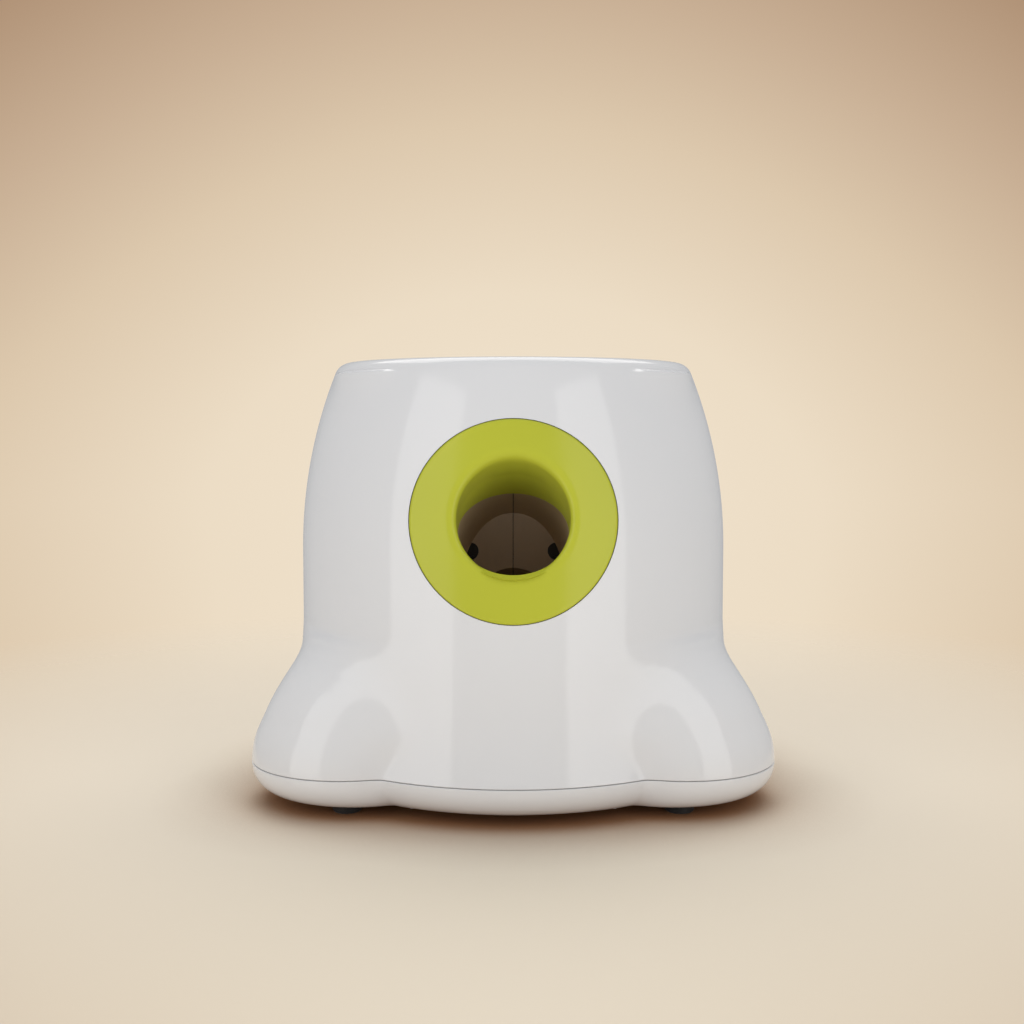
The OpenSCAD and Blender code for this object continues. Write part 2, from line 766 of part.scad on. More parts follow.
// Angle of a tooth on the follower that meshes with a leader whose tooth stands at leader_angle.
function mesh_angle(line, leader_angle, leader_teeth, follower_teeth) =
    line + 180 + ((line - leader_angle) * leader_teeth / 360 + 0.5) * 360 / follower_teeth;
sector_tooth_angle = -90;
final_tooth_angle = 0;
middle_small_angle = mesh_angle(middle_angle, final_tooth_angle, final_teeth, pinion_teeth);
middle_wheel_angle = 0;
first_small_angle = mesh_angle(first_angle, middle_wheel_angle, wheel_teeth, pinion_teeth);
first_wheel_angle = 0;
motor_tooth_angle = mesh_angle(motor_angle, first_wheel_angle, wheel_teeth, pinion_teeth);

function involute(a) = tan(a) * 180 / PI - a;
// Half the angle that a tooth spans at radius r.
function tooth_half(r, teeth, module_size, play) =
    let (pitch_r = module_size * teeth / 2, base_r = pitch_r * cos(pressure_angle))
    90 / teeth - play / 2 / pitch_r * 180 / PI
        + involute(pressure_angle) - involute(acos(min(base_r / max(r, base_r), 1)));
// Points of one tooth, from its root on one side to its root on the other.
function tooth(teeth, module_size, play, angle) =
    let (pitch_r = module_size * teeth / 2,
        base_r = pitch_r * cos(pressure_angle),
        root_r = pitch_r - module_size,
        tip_r = pitch_r + 0.8 * module_size,
        mid_r = max(base_r, root_r + 0.1),
        flank = [root_r, mid_r, (mid_r + pitch_r) / 2, pitch_r, (pitch_r + tip_r) / 2, tip_r])
    concat(
        [for (r = flank) polar(r, angle - tooth_half(r, teeth, module_size, play))],
        [for (i = [len(flank) - 1 : -1 : 0])
            polar(flank[i], angle + tooth_half(flank[i], teeth, module_size, play))]);

module gear_profile(teeth, module_size, play, angle) {
    polygon([for (i = [0 : teeth - 1]) each tooth(teeth, module_size, play, angle + i * 360 / teeth)]);
}

// The teeth stand from the last, at the largest turn, up to the first, which meshes at rest.
module sector_profile() {
    step = 360 / sector_full_teeth;
    root_r = rack_module * sector_full_teeth / 2 - rack_module - 0.4;
    last_angle = sector_tooth_angle - (sector_teeth - 1) * step;
    polygon([for (i = [0 : sector_full_teeth - 1])
        each (i < sector_teeth
            ? tooth(sector_full_teeth, rack_module, 0.16, last_angle + i * step)
            : [for (part = [-0.4, 0, 0.4]) polar(root_r, last_angle + (i + part) * step)])]);
}

axle_r = 2;
sector_axle_r = 3;
plate_t = 2.5;
left_plate_x = -8.5;
right_plate_x = 20.5;
hub_left_x = left_plate_x + plate_t + 0.3;
hub_right_x = right_plate_x - 0.3;
train_play = 0.12;

module at_gear(centre) {
    launch_frame() translate([0, centre[0], centre[1]]) children();
}

module sector_gear() {
    color("ivory") at_gear(sector_centre) difference() {
        union() {
            slab(-4, 4) sector_profile();
            slab(5, 10) gear_profile(final_teeth, train_module, train_play, final_tooth_angle);
            along_x(3, 6, 16);
            along_x(hub_left_x, hub_right_x, 5.4);
        }
        along_x(-20, 30, sector_axle_r + running);
        translate([0, 0, 11]) along_x(-5, -2.4, 2.5);
    }
}

module sector_magnet() {
    color("silver") at_gear(sector_centre) translate([0, 0, 11]) along_x(-4, -2.45, 2.45);
}

module middle_gear() {
    color("ivory") at_gear(middle_centre) difference() {
        union() {
            slab(4.8, 10.8) gear_profile(pinion_teeth, train_module, train_play, middle_small_angle);
            slab(10.8, 14.4) gear_profile(wheel_teeth, train_module, train_play, middle_wheel_angle);
            along_x(hub_left_x, hub_right_x, 3.3);
        }
        along_x(-20, 30, axle_r + running);
    }
}

module first_gear() {
    color("ivory") at_gear(first_centre) difference() {
        union() {
            slab(10.6, 15.2) gear_profile(pinion_teeth, train_module, train_play, first_small_angle);
            slab(15.2, 18.8) gear_profile(wheel_teeth, train_module, train_play, first_wheel_angle);
            along_x(hub_left_x, hub_right_x, 3.3);
        }
        along_x(-20, 30, axle_r + running);
    }
}

module motor_pinion() {
    color("goldenrod") at_gear(motor_centre) {
        slab(15.3, 19.2) gear_profile(pinion_teeth, train_module, train_play, motor_tooth_angle);
        along_x(15, right_plate_x + plate_t + motor_len - 1, 1.5);
    }
}

module drive_motor() {
    face = right_plate_x + plate_t;
    color("silver") at_gear(motor_centre) difference() {
        union() {
            along_x(face + 0.05, face + motor_len - 4, motor_r);
            along_x(face - 1.6, face + 1, 5);
        }
        along_x(face - 5, face + motor_len, 1.5 + running);
    }
}

module motor_end_cap() {
    face = right_plate_x + plate_t + motor_len - 4;
    color("black") at_gear(motor_centre) difference() {
        union() {
            along_x(face + 0.05, face + 3, motor_r);
            for (side = [-1, 1]) {
                box([face + 2, side * 8 - 2, -0.6], [face + 6, side * 8 + 2, 0.6]);
            }
        }
        along_x(face - 5, face + 10, 1.5 + running);
    }
}

// Outline of both gearbox plates, in the launch frame's Y and Z.
plate_outline = [[158, pad_top + 0.05], [224, pad_top + 0.05], [227, 42], [222, 50], [200, 82], [194, 86],
    [166, 108], [155, 107], [143, 84], [144, 64], [158, 48]];
spacer_places = [[221, 42], [160, 102], [194, 80]];

module plate(x, foot_from, foot_to, foot_screw_x) {
    difference() {
        union() {
            launch_frame() slab(x, x + plate_t) polygon(plate_outline);
            for (a = pad_a) {
                launch_frame() box([foot_from, a - 6, pad_top + 0.05], [foot_to, a + 6, pad_top + 2.5]);
            }
        }
        at_gear(sector_centre) along_x(x - 1, x + plate_t + 1, sector_axle_r + 0.02);
        at_gear(middle_centre) along_x(x - 1, x + plate_t + 1, axle_r + 0.02);
        at_gear(first_centre) along_x(x - 1, x + plate_t + 1, axle_r + 0.02);
        if (x > 0) at_gear(motor_centre) along_x(x - 1, x + plate_t + 1, 5.1);
        for (place = spacer_places) {
            at_gear(place) along_x(x - 1, x + plate_t + 1, 1.6);
        }
        for (a = pad_a) {
            launch_frame() translate([foot_screw_x, a, pad_top - 1]) cylinder(h = 6, r = 1.6);
        }
    }
}

module gearbox_plate_left() {
    color("lightgray") plate(left_plate_x, -20, left_plate_x + 1, -14.5);
}

module gearbox_plate_right() {
    color("lightgray") plate(right_plate_x, right_plate_x + 1, 34, 28.5);
}

module gear_axles() {
    from = left_plate_x - 0.5;
    to = right_plate_x + plate_t;
    color("silver") {
        at_gear(sector_centre) along_x(from, to, sector_axle_r);
        at_gear(middle_centre) along_x(from, to, axle_r);
        at_gear(first_centre) along_x(from, to, axle_r);
    }
}

module gearbox_spacers() {
    color("silver") for (place = spacer_places) {
        at_gear(place) difference() {
            along_x(left_plate_x + plate_t + 0.05, right_plate_x - 0.05, 3);
            along_x(left_plate_x, right_plate_x + 1, 1.3);
        }
    }
}

// Small board on the left plate that sees the sector's magnet go by.
module position_sensor() {
    color("darkgreen") at_gear(sector_centre) {
        box([left_plate_x - 1.2, -6, 6], [left_plate_x - 0.05, 6, 16]);
        box([left_plate_x - 2.4, -2, 9], [left_plate_x - 1.2, 2, 13]);
    }
}

// Ball sensors: a light beam crosses the chute from one to the other.
module ball_sensor(side) {
    color("black") at_drum() translate([side * sensor_x, 0, sensor_z]) difference() {
        union() {
            along_y(27.5, 36, sensor_hole_r - 0.1);
            along_y(34.1, 38, 7);
        }
        along_y(26, 28.3, 3.6);
    }
}

module ball_sensor_emitter() {
    ball_sensor(-1);
}

module ball_sensor_receiver() {
    ball_sensor(1);
}

// Controls on the back of the drum.
board_y = 100;
board_t = 1.6;
board_half_x = 23.5;
board_half_z = 18;
post_x = 17.5;
post_z = 13.5;
bezel_back_y = 104.5;
bezel_flange_t = 2.4;
bezel_pocket_y = 110.5;
bezel_pocket_r = 20.5;
light_z = 14.5;
light_x = 7;
light_r = 1.6;
bezel_hole_r = button_r + 0.35;

module control_bezel() {
    color("darkgray") at_drum() difference() {
        union() {
            intersection() {
                translate([0, 0, panel_z]) along_y(bezel_back_y, drum_r + 10, panel_r);
                drum_core(-proud);
            }
            translate([0, 0, panel_z]) along_y(bezel_back_y, bezel_back_y + bezel_flange_t, panel_r + 3.5);
            for (x = [-1, 1], z = [-1, 1]) {
                translate([x * post_x, 0, panel_z + z * post_z])
                    along_y(board_y + board_t + 0.05, bezel_back_y + 1, 3);
            }
        }
        translate([0, 0, panel_z]) along_y(60, bezel_pocket_y, bezel_pocket_r);
        translate([0, 0, panel_z - 2]) along_y(60, 140, bezel_hole_r);
        for (i = [-1 : 1]) {
            translate([i * light_x, 0, panel_z + light_z]) along_y(60, 140, light_r + 0.05);
        }
        for (x = [-1, 1], z = [-1, 1]) {
            translate([x * post_x, 0, panel_z + z * post_z]) along_y(board_y, 107, 1.05);
        }
    }
}

module power_button() {
    color("dimgray") at_drum() translate([0, 0, panel_z - 2]) rotate([-90, 0, 0]) rotate_extrude() polygon([
        [0, 107.6], [button_r + 1.6, 107.6], [button_r + 1.6, 109], [button_r, 109], [button_r, 118.2],
        [button_r - 0.8, 119], [button_r - 3, 119.3], [0, 119.5]]);
}

module button_plunger() {
    color("black") at_drum() translate([0, 0, panel_z - 2]) along_y(104.2, 107.55, 2.9);
}

module tact_switch() {
    color("dimgray") at_drum() translate([0, 0, panel_z - 2]) difference() {
        box([-6, board_y + board_t + 0.05, -6], [6, 106, 6]);
        along_y(103, 110, 3.2);
    }
}

module control_board() {
    color("darkgreen") at_drum() difference() {
        box([-board_half_x, board_y, panel_z - board_half_z],
            [board_half_x, board_y + board_t, panel_z + board_half_z]);
        for (x = [-1, 1], z = [-1, 1]) {
            translate([x * post_x, 0, panel_z + z * post_z])
                along_y(board_y - 1, board_y + board_t + 1, 1.3);
        }
    }
}

module board_components() {
    color("black") at_drum() {
        box([-20, board_y - 2.4, panel_z - 6], [-8, board_y - 0.05, panel_z + 6]);
        box([10, board_y - 6, panel_z + 4], [20, board_y - 0.05, panel_z + 9]);
        box([10, board_y - 6, panel_z - 9], [20, board_y - 0.05, panel_z - 4]);
        box([-6, board_y - 1.2, panel_z + 9], [2, board_y - 0.05, panel_z + 14]);
        translate([-2, 0, panel_z - 12]) along_y(board_y - 8, board_y - 0.05, 3);
    }
}

module buzzer() {
    color("black") at_drum() translate([4, 0, panel_z + 2]) difference() {
        along_y(board_y - 7, board_y - 0.05, 5);
        along_y(board_y - 8, board_y - 6, 1);
    }
}

module indicator_lights() {
    color("lightgreen") at_drum() for (i = [-1 : 1]) {
        translate([i * light_x, 0, panel_z + light_z]) along_y(board_y + board_t + 0.05, 114.9, light_r);
    }
}

// Low-voltage socket in the rear lobe.
jack_seat_y = 154.5;
jack_boss_r = 9;
jack_back_y = 137.5;
jack_bore_y = 145.5;
jack_r = 5.8;

module dc_jack() {
    color("black") at_drum() translate([0, 0, jack_z]) difference() {
        union() {
            along_y(jack_seat_y + 0.05, jack_seat_y + 1.6, 7.4);
            along_y(jack_back_y, jack_seat_y + 0.5, jack_r);
        }
        along_y(jack_bore_y, 170, 2.9);
    }
}

module jack_contacts() {
    color("silver") at_drum() translate([0, 0, jack_z]) {
        along_y(jack_bore_y + 0.05, jack_seat_y - 1, 1.05);
        for (side = [-1, 1]) {
            box([-2, jack_back_y - 5, side * 3.1 - 0.3], [2, jack_back_y - 0.05, side * 3.1 + 0.3]);
        }
    }
}

module jack_nut() {
    color("silver") at_drum() translate([0, jack_seat_y - 9.05, jack_z]) rotate([-90, 0, 0]) difference() {
        cylinder(h = 3, r = 8.2, $fn = 6);
        translate([0, 0, -1]) cylinder(h = 5, r = jack_r + 0.05);
    }
}

// Battery compartment.
cell_rows_y = [for (i = [-1 : 1]) (box_front_y + box_back_y) / 2 + i * 27];
cell_z = tray_z + cover_t + 0.6 + cell_r;

module battery_cover() {
    color("whitesmoke") at_drum() difference() {
        box([-box_x - cover_margin, box_front_y - cover_margin, tray_z + 0.1],
            [box_x + cover_margin, box_back_y + 12, tray_z + cover_t]);
        for (side = [-1, 1]) {
            translate([side * cover_screw_x, cover_screw_y, 0]) cylinder(h = 10, r = 1.6);
        }
    }
}

module battery_cells() {
    color("slategray") at_drum() for (y = cell_rows_y, side = [-1, 1]) {
        translate([side * (cell_len / 2 + 0.4) - (cell_len / 2), y, cell_z]) {
            along_x(0, cell_len - 1.5, cell_r);
            along_x(cell_len - 1.6, cell_len, 3.2);
        }
    }
}

module battery_contacts() {
    color("silver") at_drum() for (y = cell_rows_y, side = [-1, 1]) {
        translate([side * (box_x - 0.4), y, cell_z]) box([-0.3, -7, -7], [0.3, 7, 7]);
    }
}

// Fasteners: a head and a shank, drawn upwards from the head's underside.
module screw(shank_r, length, head_r, head_h) {
    cylinder(h = head_h, r = head_r);
    cylinder(h = length, r = shank_r);
}

module base_screws() {
    color("silver") at_drum() for (place = shell_screw_places) {
        translate([place[0], place[1], 9.6]) screw(1.45, 22, 2.8, 2.35);
    }
}

module chamber_leg_screws() {
    color("silver") at_drum() for (place = leg_places) {
        translate([place[0], place[1], 6.4]) screw(1.45, 22, 3.2, 2.55);
    }
}

module chamber_screws() {
    color("silver") for (place = parting_screws) {
        launch_frame() translate([-10.3, place[0], place[1]]) rotate([0, 90, 0]) screw(1.45, 16, 2.8, 2.25);
    }
}

module hopper_screws() {
    color("silver") at_drum() for (a = [45 : 90 : 315]) {
        rotate(a) translate([hopper_screw_ring_r, 0, hopper_flange_z - 2.1]) screw(1.2, 7, 2.6, 2.05);
    }
}

module ring_screws() {
    color("silver") at_drum() for (x = [-1, 1], z = [-1, 1]) {
        translate([x * ring_screw_offset, ring_disc_y + ring_disc_t + 2.1, flange_z])
            translate([0, 0, z * ring_screw_offset]) rotate([90, 0, 0]) screw(1.45, 6.5, 2.8, 2.05);
    }
}

module gearbox_screws() {
    color("silver") {
        for (a = pad_a, x = [-14.5, 28.5]) {
            launch_frame() translate([x, a, pad_top + 4.6]) rotate([180, 0, 0]) screw(1.2, 10, 2.6, 2.05);
        }
        for (place = spacer_places) {
            at_gear(place) translate([left_plate_x - 2.1, 0, 0]) rotate([0, 90, 0])
                screw(1.25, 14, 2.6, 2.05);
            at_gear(place) translate([right_plate_x + plate_t + 2.1, 0, 0]) rotate([0, -90, 0])
                screw(1.25, 14, 2.6, 2.05);
        }
    }
}

module board_screws() {
    color("silver") at_drum() for (x = [-1, 1], z = [-1, 1]) {
        translate([x * post_x, board_y - 1.65, panel_z + z * post_z]) rotate([-90, 0, 0])
            screw(1, 8, 2, 1.6);
    }
}

module cover_screws() {
    color("silver") at_drum() for (side = [-1, 1]) {
        translate([side * cover_screw_x, cover_screw_y, tray_z - 1.95]) screw(1.2, 10, 2.6, 2);
    }
}

// Wires, swept along routes of round numbers measured from the drum axis.
wire_r = 0.8;
wire_sides = 8;
motor_routes = [
    [[63.1, 84.3, 141], [65.5, 84.3, 141], [68, 86, 147], [64, 89, 156], [50, 94, 168], [34, 97, 178],
        [22.5, 98.2, 183.4], [20.1, 98.2, 183.4]],
    [[63.1, 69.7, 147.5], [65.5, 69.7, 147.5], [67, 74, 152], [62, 84, 160], [48, 91, 168], [32, 95, 175],
        [22.5, 95.4, 183.4], [20.1, 95.4, 183.4]]];
battery_routes = [
    [[44, -15.9, 30], [44, -4, 30], [56, 30, 50], [66, 60, 80], [70, 80, 110], [63, 95, 140],
        [46, 101, 160], [32, 99, 168], [22.5, 98, 172.5], [20.1, 98, 172.5]],
    [[40, -15.9, 30], [40, 0, 30], [52, 32, 54], [62, 60, 84], [67, 76, 112], [60, 97, 142], [42, 101, 156],
        [32, 97, 164], [22.5, 95.5, 170.5], [20.1, 95.5, 170.5]]];
sensor_routes = [
    [[-sensor_x, 38.1, sensor_z], [-sensor_x, 41, sensor_z], [-28, 46, 127], [-34, 70, 140],
        [-33, 90, 158], [-28, 97, 170], [-22.5, 98.8, 178], [-20.1, 98.8, 178]],
    [[sensor_x, 38.1, sensor_z], [sensor_x, 41, sensor_z], [34, 45, 124], [66, 50, 130], [70, 72, 162],
        [56, 92, 176], [34, 96, 181], [22.5, 96.9, 186], [20.1, 96.9, 186]]];
jack_routes = [
    [[0, 132.4, 39.1], [0, 130, 39.1], [-6, 125, 46], [-36, 112, 62], [-50, 102, 100], [-46, 105, 140],
        [-32, 102, 160], [-27, 98.9, 168], [-22.5, 98.8, 174], [-20.1, 98.8, 174]],
    [[0, 132.4, 32.9], [0, 130, 32.9], [-8, 124, 40], [-40, 111, 60], [-54, 100, 102], [-50, 103, 142],
        [-36, 102, 164], [-29, 98.9, 178], [-22.5, 98.8, 182], [-20.1, 98.8, 182]]];

function unit(v) = v / norm(v);
function ring_points(centre, direction, r) =
    let (d = unit(direction), u = unit(cross(d, [0.36, 0.48, 0.8])), v = cross(d, u))
    [for (s = [0 : wire_sides - 1])
        let (a = s * 360 / wire_sides)
        centre + r * (cos(a) * u + sin(a) * v)];

module wire(route) {
    count = len(route);
    directions = [for (i = [0 : count - 1])
        unit(i == 0 ? route[1] - route[0] : unit(route[i] - route[i - 1])
            + (i == count - 1 ? [0, 0, 0] : unit(route[i + 1] - route[i])))];
    points = [for (i = [0 : count - 1]) each ring_points(route[i], directions[i], wire_r)];
    sides = [for (i = [0 : count - 2], s = [0 : wire_sides - 1])
        let (t = (s + 1) % wire_sides, p = i * wire_sides, q = p + wire_sides)
        each [[p + s, q + s, q + t], [p + s, q + t, p + t]]];
    polyhedron(
        points = points,
        faces = concat(
            sides,
            [[for (s = [0 : wire_sides - 1]) s]],
            [[for (s = [wire_sides - 1 : -1 : 0]) (count - 1) * wire_sides + s]]),
        convexity = 4);
}

module motor_leads() {
    color("firebrick") at_drum() for (route = motor_routes) wire(route);
}

module battery_leads() {
    color("firebrick") at_drum() for (route = battery_routes) wire(route);
}

module sensor_leads() {
    color("dimgray") at_drum() for (route = sensor_routes) wire(route);
}

module jack_leads() {
    color("firebrick") at_drum() for (route = jack_routes) wire(route);
}

upper_shell();
base_tray();
hopper_funnel();
mouth_ring();
chamber_left();
chamber_right();
striker_cup();
striker_pad();
rack_bar();
launch_spring();
spring_cap();
sector_gear();
sector_magnet();
middle_gear();
first_gear();
motor_pinion();
drive_motor();
motor_end_cap();
gearbox_plate_left();
gearbox_plate_right();
gear_axles();
gearbox_spacers();
position_sensor();
ball_sensor_emitter();
ball_sensor_receiver();
control_board();
board_components();
buzzer();
tact_switch();
button_plunger();
power_button();
control_bezel();
indicator_lights();
dc_jack();
jack_nut();
jack_contacts();
battery_cover();
battery_cells();
battery_contacts();
foot_left();
foot_right();
foot_rear();
base_screws();
chamber_screws();
chamber_leg_screws();
hopper_screws();
ring_screws();
gearbox_screws();
board_screws();
cover_screws();
motor_leads();
battery_leads();
sensor_leads();
jack_leads();
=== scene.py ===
"""Dresses the CAD frame of an automatic ball launcher for dogs and sets up its studio.

Shapes are worked out in millimetres about the drum's axis and put into meshes in metres.
"""

from __future__ import annotations

import json
import logging
import math
from dataclasses import dataclass
from enum import Enum

import bpy
import numpy as np
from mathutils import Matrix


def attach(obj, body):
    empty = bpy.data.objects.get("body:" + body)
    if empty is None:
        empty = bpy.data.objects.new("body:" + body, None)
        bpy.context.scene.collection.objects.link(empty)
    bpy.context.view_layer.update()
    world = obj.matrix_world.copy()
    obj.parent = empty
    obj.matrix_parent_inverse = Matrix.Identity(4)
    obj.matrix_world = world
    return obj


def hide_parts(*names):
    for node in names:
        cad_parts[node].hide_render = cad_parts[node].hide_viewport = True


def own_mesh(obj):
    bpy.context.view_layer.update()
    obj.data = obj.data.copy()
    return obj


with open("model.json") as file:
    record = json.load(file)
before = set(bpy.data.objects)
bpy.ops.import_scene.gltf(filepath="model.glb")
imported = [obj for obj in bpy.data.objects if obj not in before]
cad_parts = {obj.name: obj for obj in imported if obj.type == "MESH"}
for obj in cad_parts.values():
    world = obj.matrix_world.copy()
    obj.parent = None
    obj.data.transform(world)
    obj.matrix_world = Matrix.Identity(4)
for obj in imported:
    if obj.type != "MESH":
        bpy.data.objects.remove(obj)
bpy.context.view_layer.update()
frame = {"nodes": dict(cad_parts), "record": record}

LOG = logging.getLogger("launcher")
MM = 0.001
DRUM_Y = -15.0
UP = (0.0, 0.0, 1.0)
BACK = (0.0, 1.0, 0.0)
# Places and weights of a smoothing over five points.
TAPS = ((-1.0, 1 / 9), (-0.5, 2 / 9), (0.0, 3 / 9), (0.5, 2 / 9), (1.0, 1 / 9))
Array = np.ndarray
Span = tuple[float, float]
Triple = tuple[float, float, float]
Colour = Triple
Mesh = tuple[Array, list]
Socket = bpy.types.NodeSocket


# Shape of the body, as functions of direction and height.


@dataclass(frozen=True)
class BodyForm:
    """Sizes in millimetres of the drum, its skirt and its three lobes, with their surface formulas."""

    drum_r: float = 121.5
    belly_z: float = 130.0
    rim_z: float = 236.0
    rim_r: float = 103.5
    rim_corner_r: float = 9.0
    wall: float = 3.0
    skirt_r: float = 130.5
    flare_z: float = 66.0
    fade_top_z: float = 95.0
    lobe_centre_r: float = 107.5
    lobe_r: float = 53.0
    lobe_h: float = 62.0
    lobe_angle: float = 55.0
    dome_power: float = 1.8
    edge_softness: float = 0.35
    blend_low: float = 5.0
    blend_high: float = 35.0
    blend_fade: float = 13.0
    seam_z: float = 22.0
    seam_gap: float = 0.4
    ledge_r: float = 92.0
    soften_rise: float = 26.0
    soften_height: float = 12.0
    soften_angle: float = math.radians(9.0)
    soften_fade: float = 10.0

    def lobe_angles(self) -> Array:
        """Direction of each lobe in plan, in radians from +X."""
        return np.radians([-90.0 - self.lobe_angle, -90.0 + self.lobe_angle, 90.0])

    def arc_r(self) -> float:
        """Radius of the arc in which the drum draws in, from its rise and its draw."""
        rise, draw = self.rim_z - self.rim_corner_r - self.belly_z, self.drum_r - self.rim_r
        return (rise * rise + draw * draw) / (2 * draw)

    def corner_middle(self) -> tuple[float, float]:
        """Radius at which the rim's rounding has its centre, and the lean of the wall where it starts."""
        up, span = self.rim_z - self.rim_corner_r - self.belly_z, self.arc_r() - self.rim_corner_r
        return self.drum_r - self.arc_r() + math.sqrt(span**2 - up**2), math.asin(up / span)

    def barrel(self, z: Array) -> Array:
        """Radius of the drum: upright, then an arc inwards above the belly, then the rim's rounding.

        Args:
            z: Heights.

        Returns:
            Radii, of the same shape.
        """
        z = np.asarray(z, float)
        middle, lean = self.corner_middle()
        rise = np.clip(z - self.belly_z, 0, None)
        side = self.drum_r - self.arc_r() + np.sqrt(self.arc_r() ** 2 - rise**2)
        over = np.clip(z - (self.rim_z - self.rim_corner_r), 0, self.rim_corner_r)
        corner = middle + np.sqrt(self.rim_corner_r**2 - over**2)
        return np.where(over > self.rim_corner_r * math.sin(lean), corner, side)

    def drum(self, z: Array) -> Array:
        """Radius of the drum with its skirt, which flares as a parabola below flare_z."""
        z = np.asarray(z, float)
        share = np.clip(self.flare_z - z, 0, None) / (self.flare_z - self.seam_z)
        return self.barrel(z) + (self.skirt_r - self.drum_r) * share**2

    def lobe(self, z: Array) -> Array:
        """Radius of a lobe's round plan: the dome is the curve (height)^power + (radius)^2 = 1."""
        share = np.clip(np.asarray(z, float) - self.seam_z, 0, None) / self.lobe_h
        return self.lobe_r * np.sqrt(np.clip(1 - share**self.dome_power, 0, None))

    def reach(self, away: Array, z: Array) -> Array:
        """Far crossing of a ray from the axis with a lobe's circle, softened past the circle's edge.

        Args:
            away: Angle between the ray and the lobe's middle, in radians.
            z: Heights.

        Returns:
            Distances from the axis.
        """
        r = self.lobe(z)
        left = r**2 - (self.lobe_centre_r * np.sin(away)) ** 2
        soft = np.sqrt((left + np.sqrt(left**2 + (self.edge_softness * r) ** 4)) / 2)
        return self.lobe_centre_r * np.cos(away) + soft

    def outline(self, angle: Array, z: Array) -> Array:
        """Radius of the whole body: a weighted mean of the folded outline over a patch round each point.

        The patch grows with height above the seam, and closes up again where the skirt has died away.

        Args:
            angle: Directions in radians from +X.
            z: Heights.

        Returns:
            Radii, by broadcasting.
        """
        angle, z = np.broadcast_arrays(np.asarray(angle, float), np.asarray(z, float))
        above = np.clip((z - self.seam_z) / self.soften_rise, 0, 1)
        grow = above * np.clip((self.fade_top_z - z) / self.soften_fade, 0, 1)
        grow = grow * grow * (3 - 2 * grow)
        aside, up = self.soften_angle * grow, self.soften_height * grow
        total = np.zeros(angle.shape)
        for u, share in TAPS:
            for v, part in TAPS:
                total += share * part * self.folded(angle + aside * u, z + up * v)
        return total

    def folded(self, angle: Array, z: Array) -> Array:
        """Radius of the larger of drum and lobes, rounded where the two are close.

        Args:
            angle: Directions in radians from +X.
            z: Heights.

        Returns:
            Radii, by broadcasting.
        """
        lobes = np.max([self.reach(angle - middle, z) for middle in self.lobe_angles()], axis=0)
        rise = np.clip((z - self.seam_z) / self.lobe_h, 0, 1)
        fade = np.clip((self.fade_top_z - z) / self.blend_fade, 0, 1)
        width = self.blend_low + (self.blend_high - self.blend_low) * rise * fade
        drum = self.drum(z)
        near = np.clip(width - np.abs(drum - lobes), 0, None)
        return np.maximum(drum, lobes) + near**2 / (4 * width)


BODY = BodyForm()


@dataclass(frozen=True)
class LaunchAxis:
    """The slanted axis that a ball leaves along, in millimetres about the drum's axis."""

    mouth_reach: float = 114.0
    mouth_z: float = 156.0
    tilt: float = math.radians(24.0)

    def point(self, along: Array, r: Array, turn: Array) -> Array:
        """Points on a circle round the axis: origin + along * inwards + r * (cos * right + sin * up).

        Args:
            along: Distance inwards from the mouth.
            r: Distance from the axis.
            turn: Angle round the axis, in radians from +X.

        Returns:
            An array of points, its last side of length 3.
        """
        along, r, turn = np.broadcast_arrays(along, r, turn)
        c, s = math.cos(self.tilt), math.sin(self.tilt)
        up = r * np.sin(turn)
        y, z = -self.mouth_reach + along * c + up * s, self.mouth_z - along * s + up * c
        return np.stack([r * np.cos(turn), y, z], axis=-1)


AXIS = LaunchAxis()


# Meshes from grids of points.


def round_angles(count: int) -> Array:
    """Evenly spaced angles of a full turn, in radians, without the last."""
    return np.arange(count) * (2 * np.pi / count)


def grid_faces(rows: int, columns: int, close_rows: bool) -> Array:
    """Four-sided faces between neighbouring rows of a grid whose columns close on themselves.

    Args:
        rows: Number of rows.
        columns: Points in a row.
        close_rows: Whether the last row joins the first.

    Returns:
        An array of four vertex numbers for each face.
    """
    k = np.arange(rows if close_rows else rows - 1)[:, None]
    i = np.arange(columns)[None, :]
    after, beside = (k + 1) % rows, (i + 1) % columns
    return np.stack(
        [k * columns + i, k * columns + beside, after * columns + beside, after * columns + i], axis=-1
    ).reshape(-1, 4)


def ring_stack(rings: Array, closed: bool) -> Mesh:
    """A skin over a stack of rings, closed into a tube or capped by a fan at each end.

    Args:
        rings: Points, as rings by points by 3.
        closed: True joins the last ring to the first; False caps both ends at their middles.

    Returns:
        Points and faces.
    """
    rows, columns = rings.shape[:2]
    points = rings.reshape(-1, 3)
    faces = grid_faces(rows, columns, closed).tolist()
    if not closed:
        points = np.concatenate([points, rings[:1].mean(axis=1), rings[-1:].mean(axis=1)])
        i = np.arange(columns)
        beside = (i + 1) % columns
        low, high, last = rows * columns, rows * columns + 1, (rows - 1) * columns
        faces += np.stack([np.full(columns, low), beside, i], axis=-1).tolist()
        faces += np.stack([np.full(columns, high), last + i, last + beside], axis=-1).tolist()
    return points, faces


def lathe(profile: Array, sectors: int, closed: bool) -> Mesh:
    """A profile of radius and height turned once about +Z.

    Args:
        profile: Points of radius and height.
        sectors: Steps in the turn.
        closed: Whether the profile is a loop, or runs from one end cap to the other.

    Returns:
        Points and faces.
    """
    a = round_angles(sectors)
    r, z = profile[:, :1], profile[:, 1:]
    rings = np.stack([r * np.cos(a), r * np.sin(a), np.broadcast_to(z, (len(profile), sectors))], axis=-1)
    return ring_stack(rings, closed)


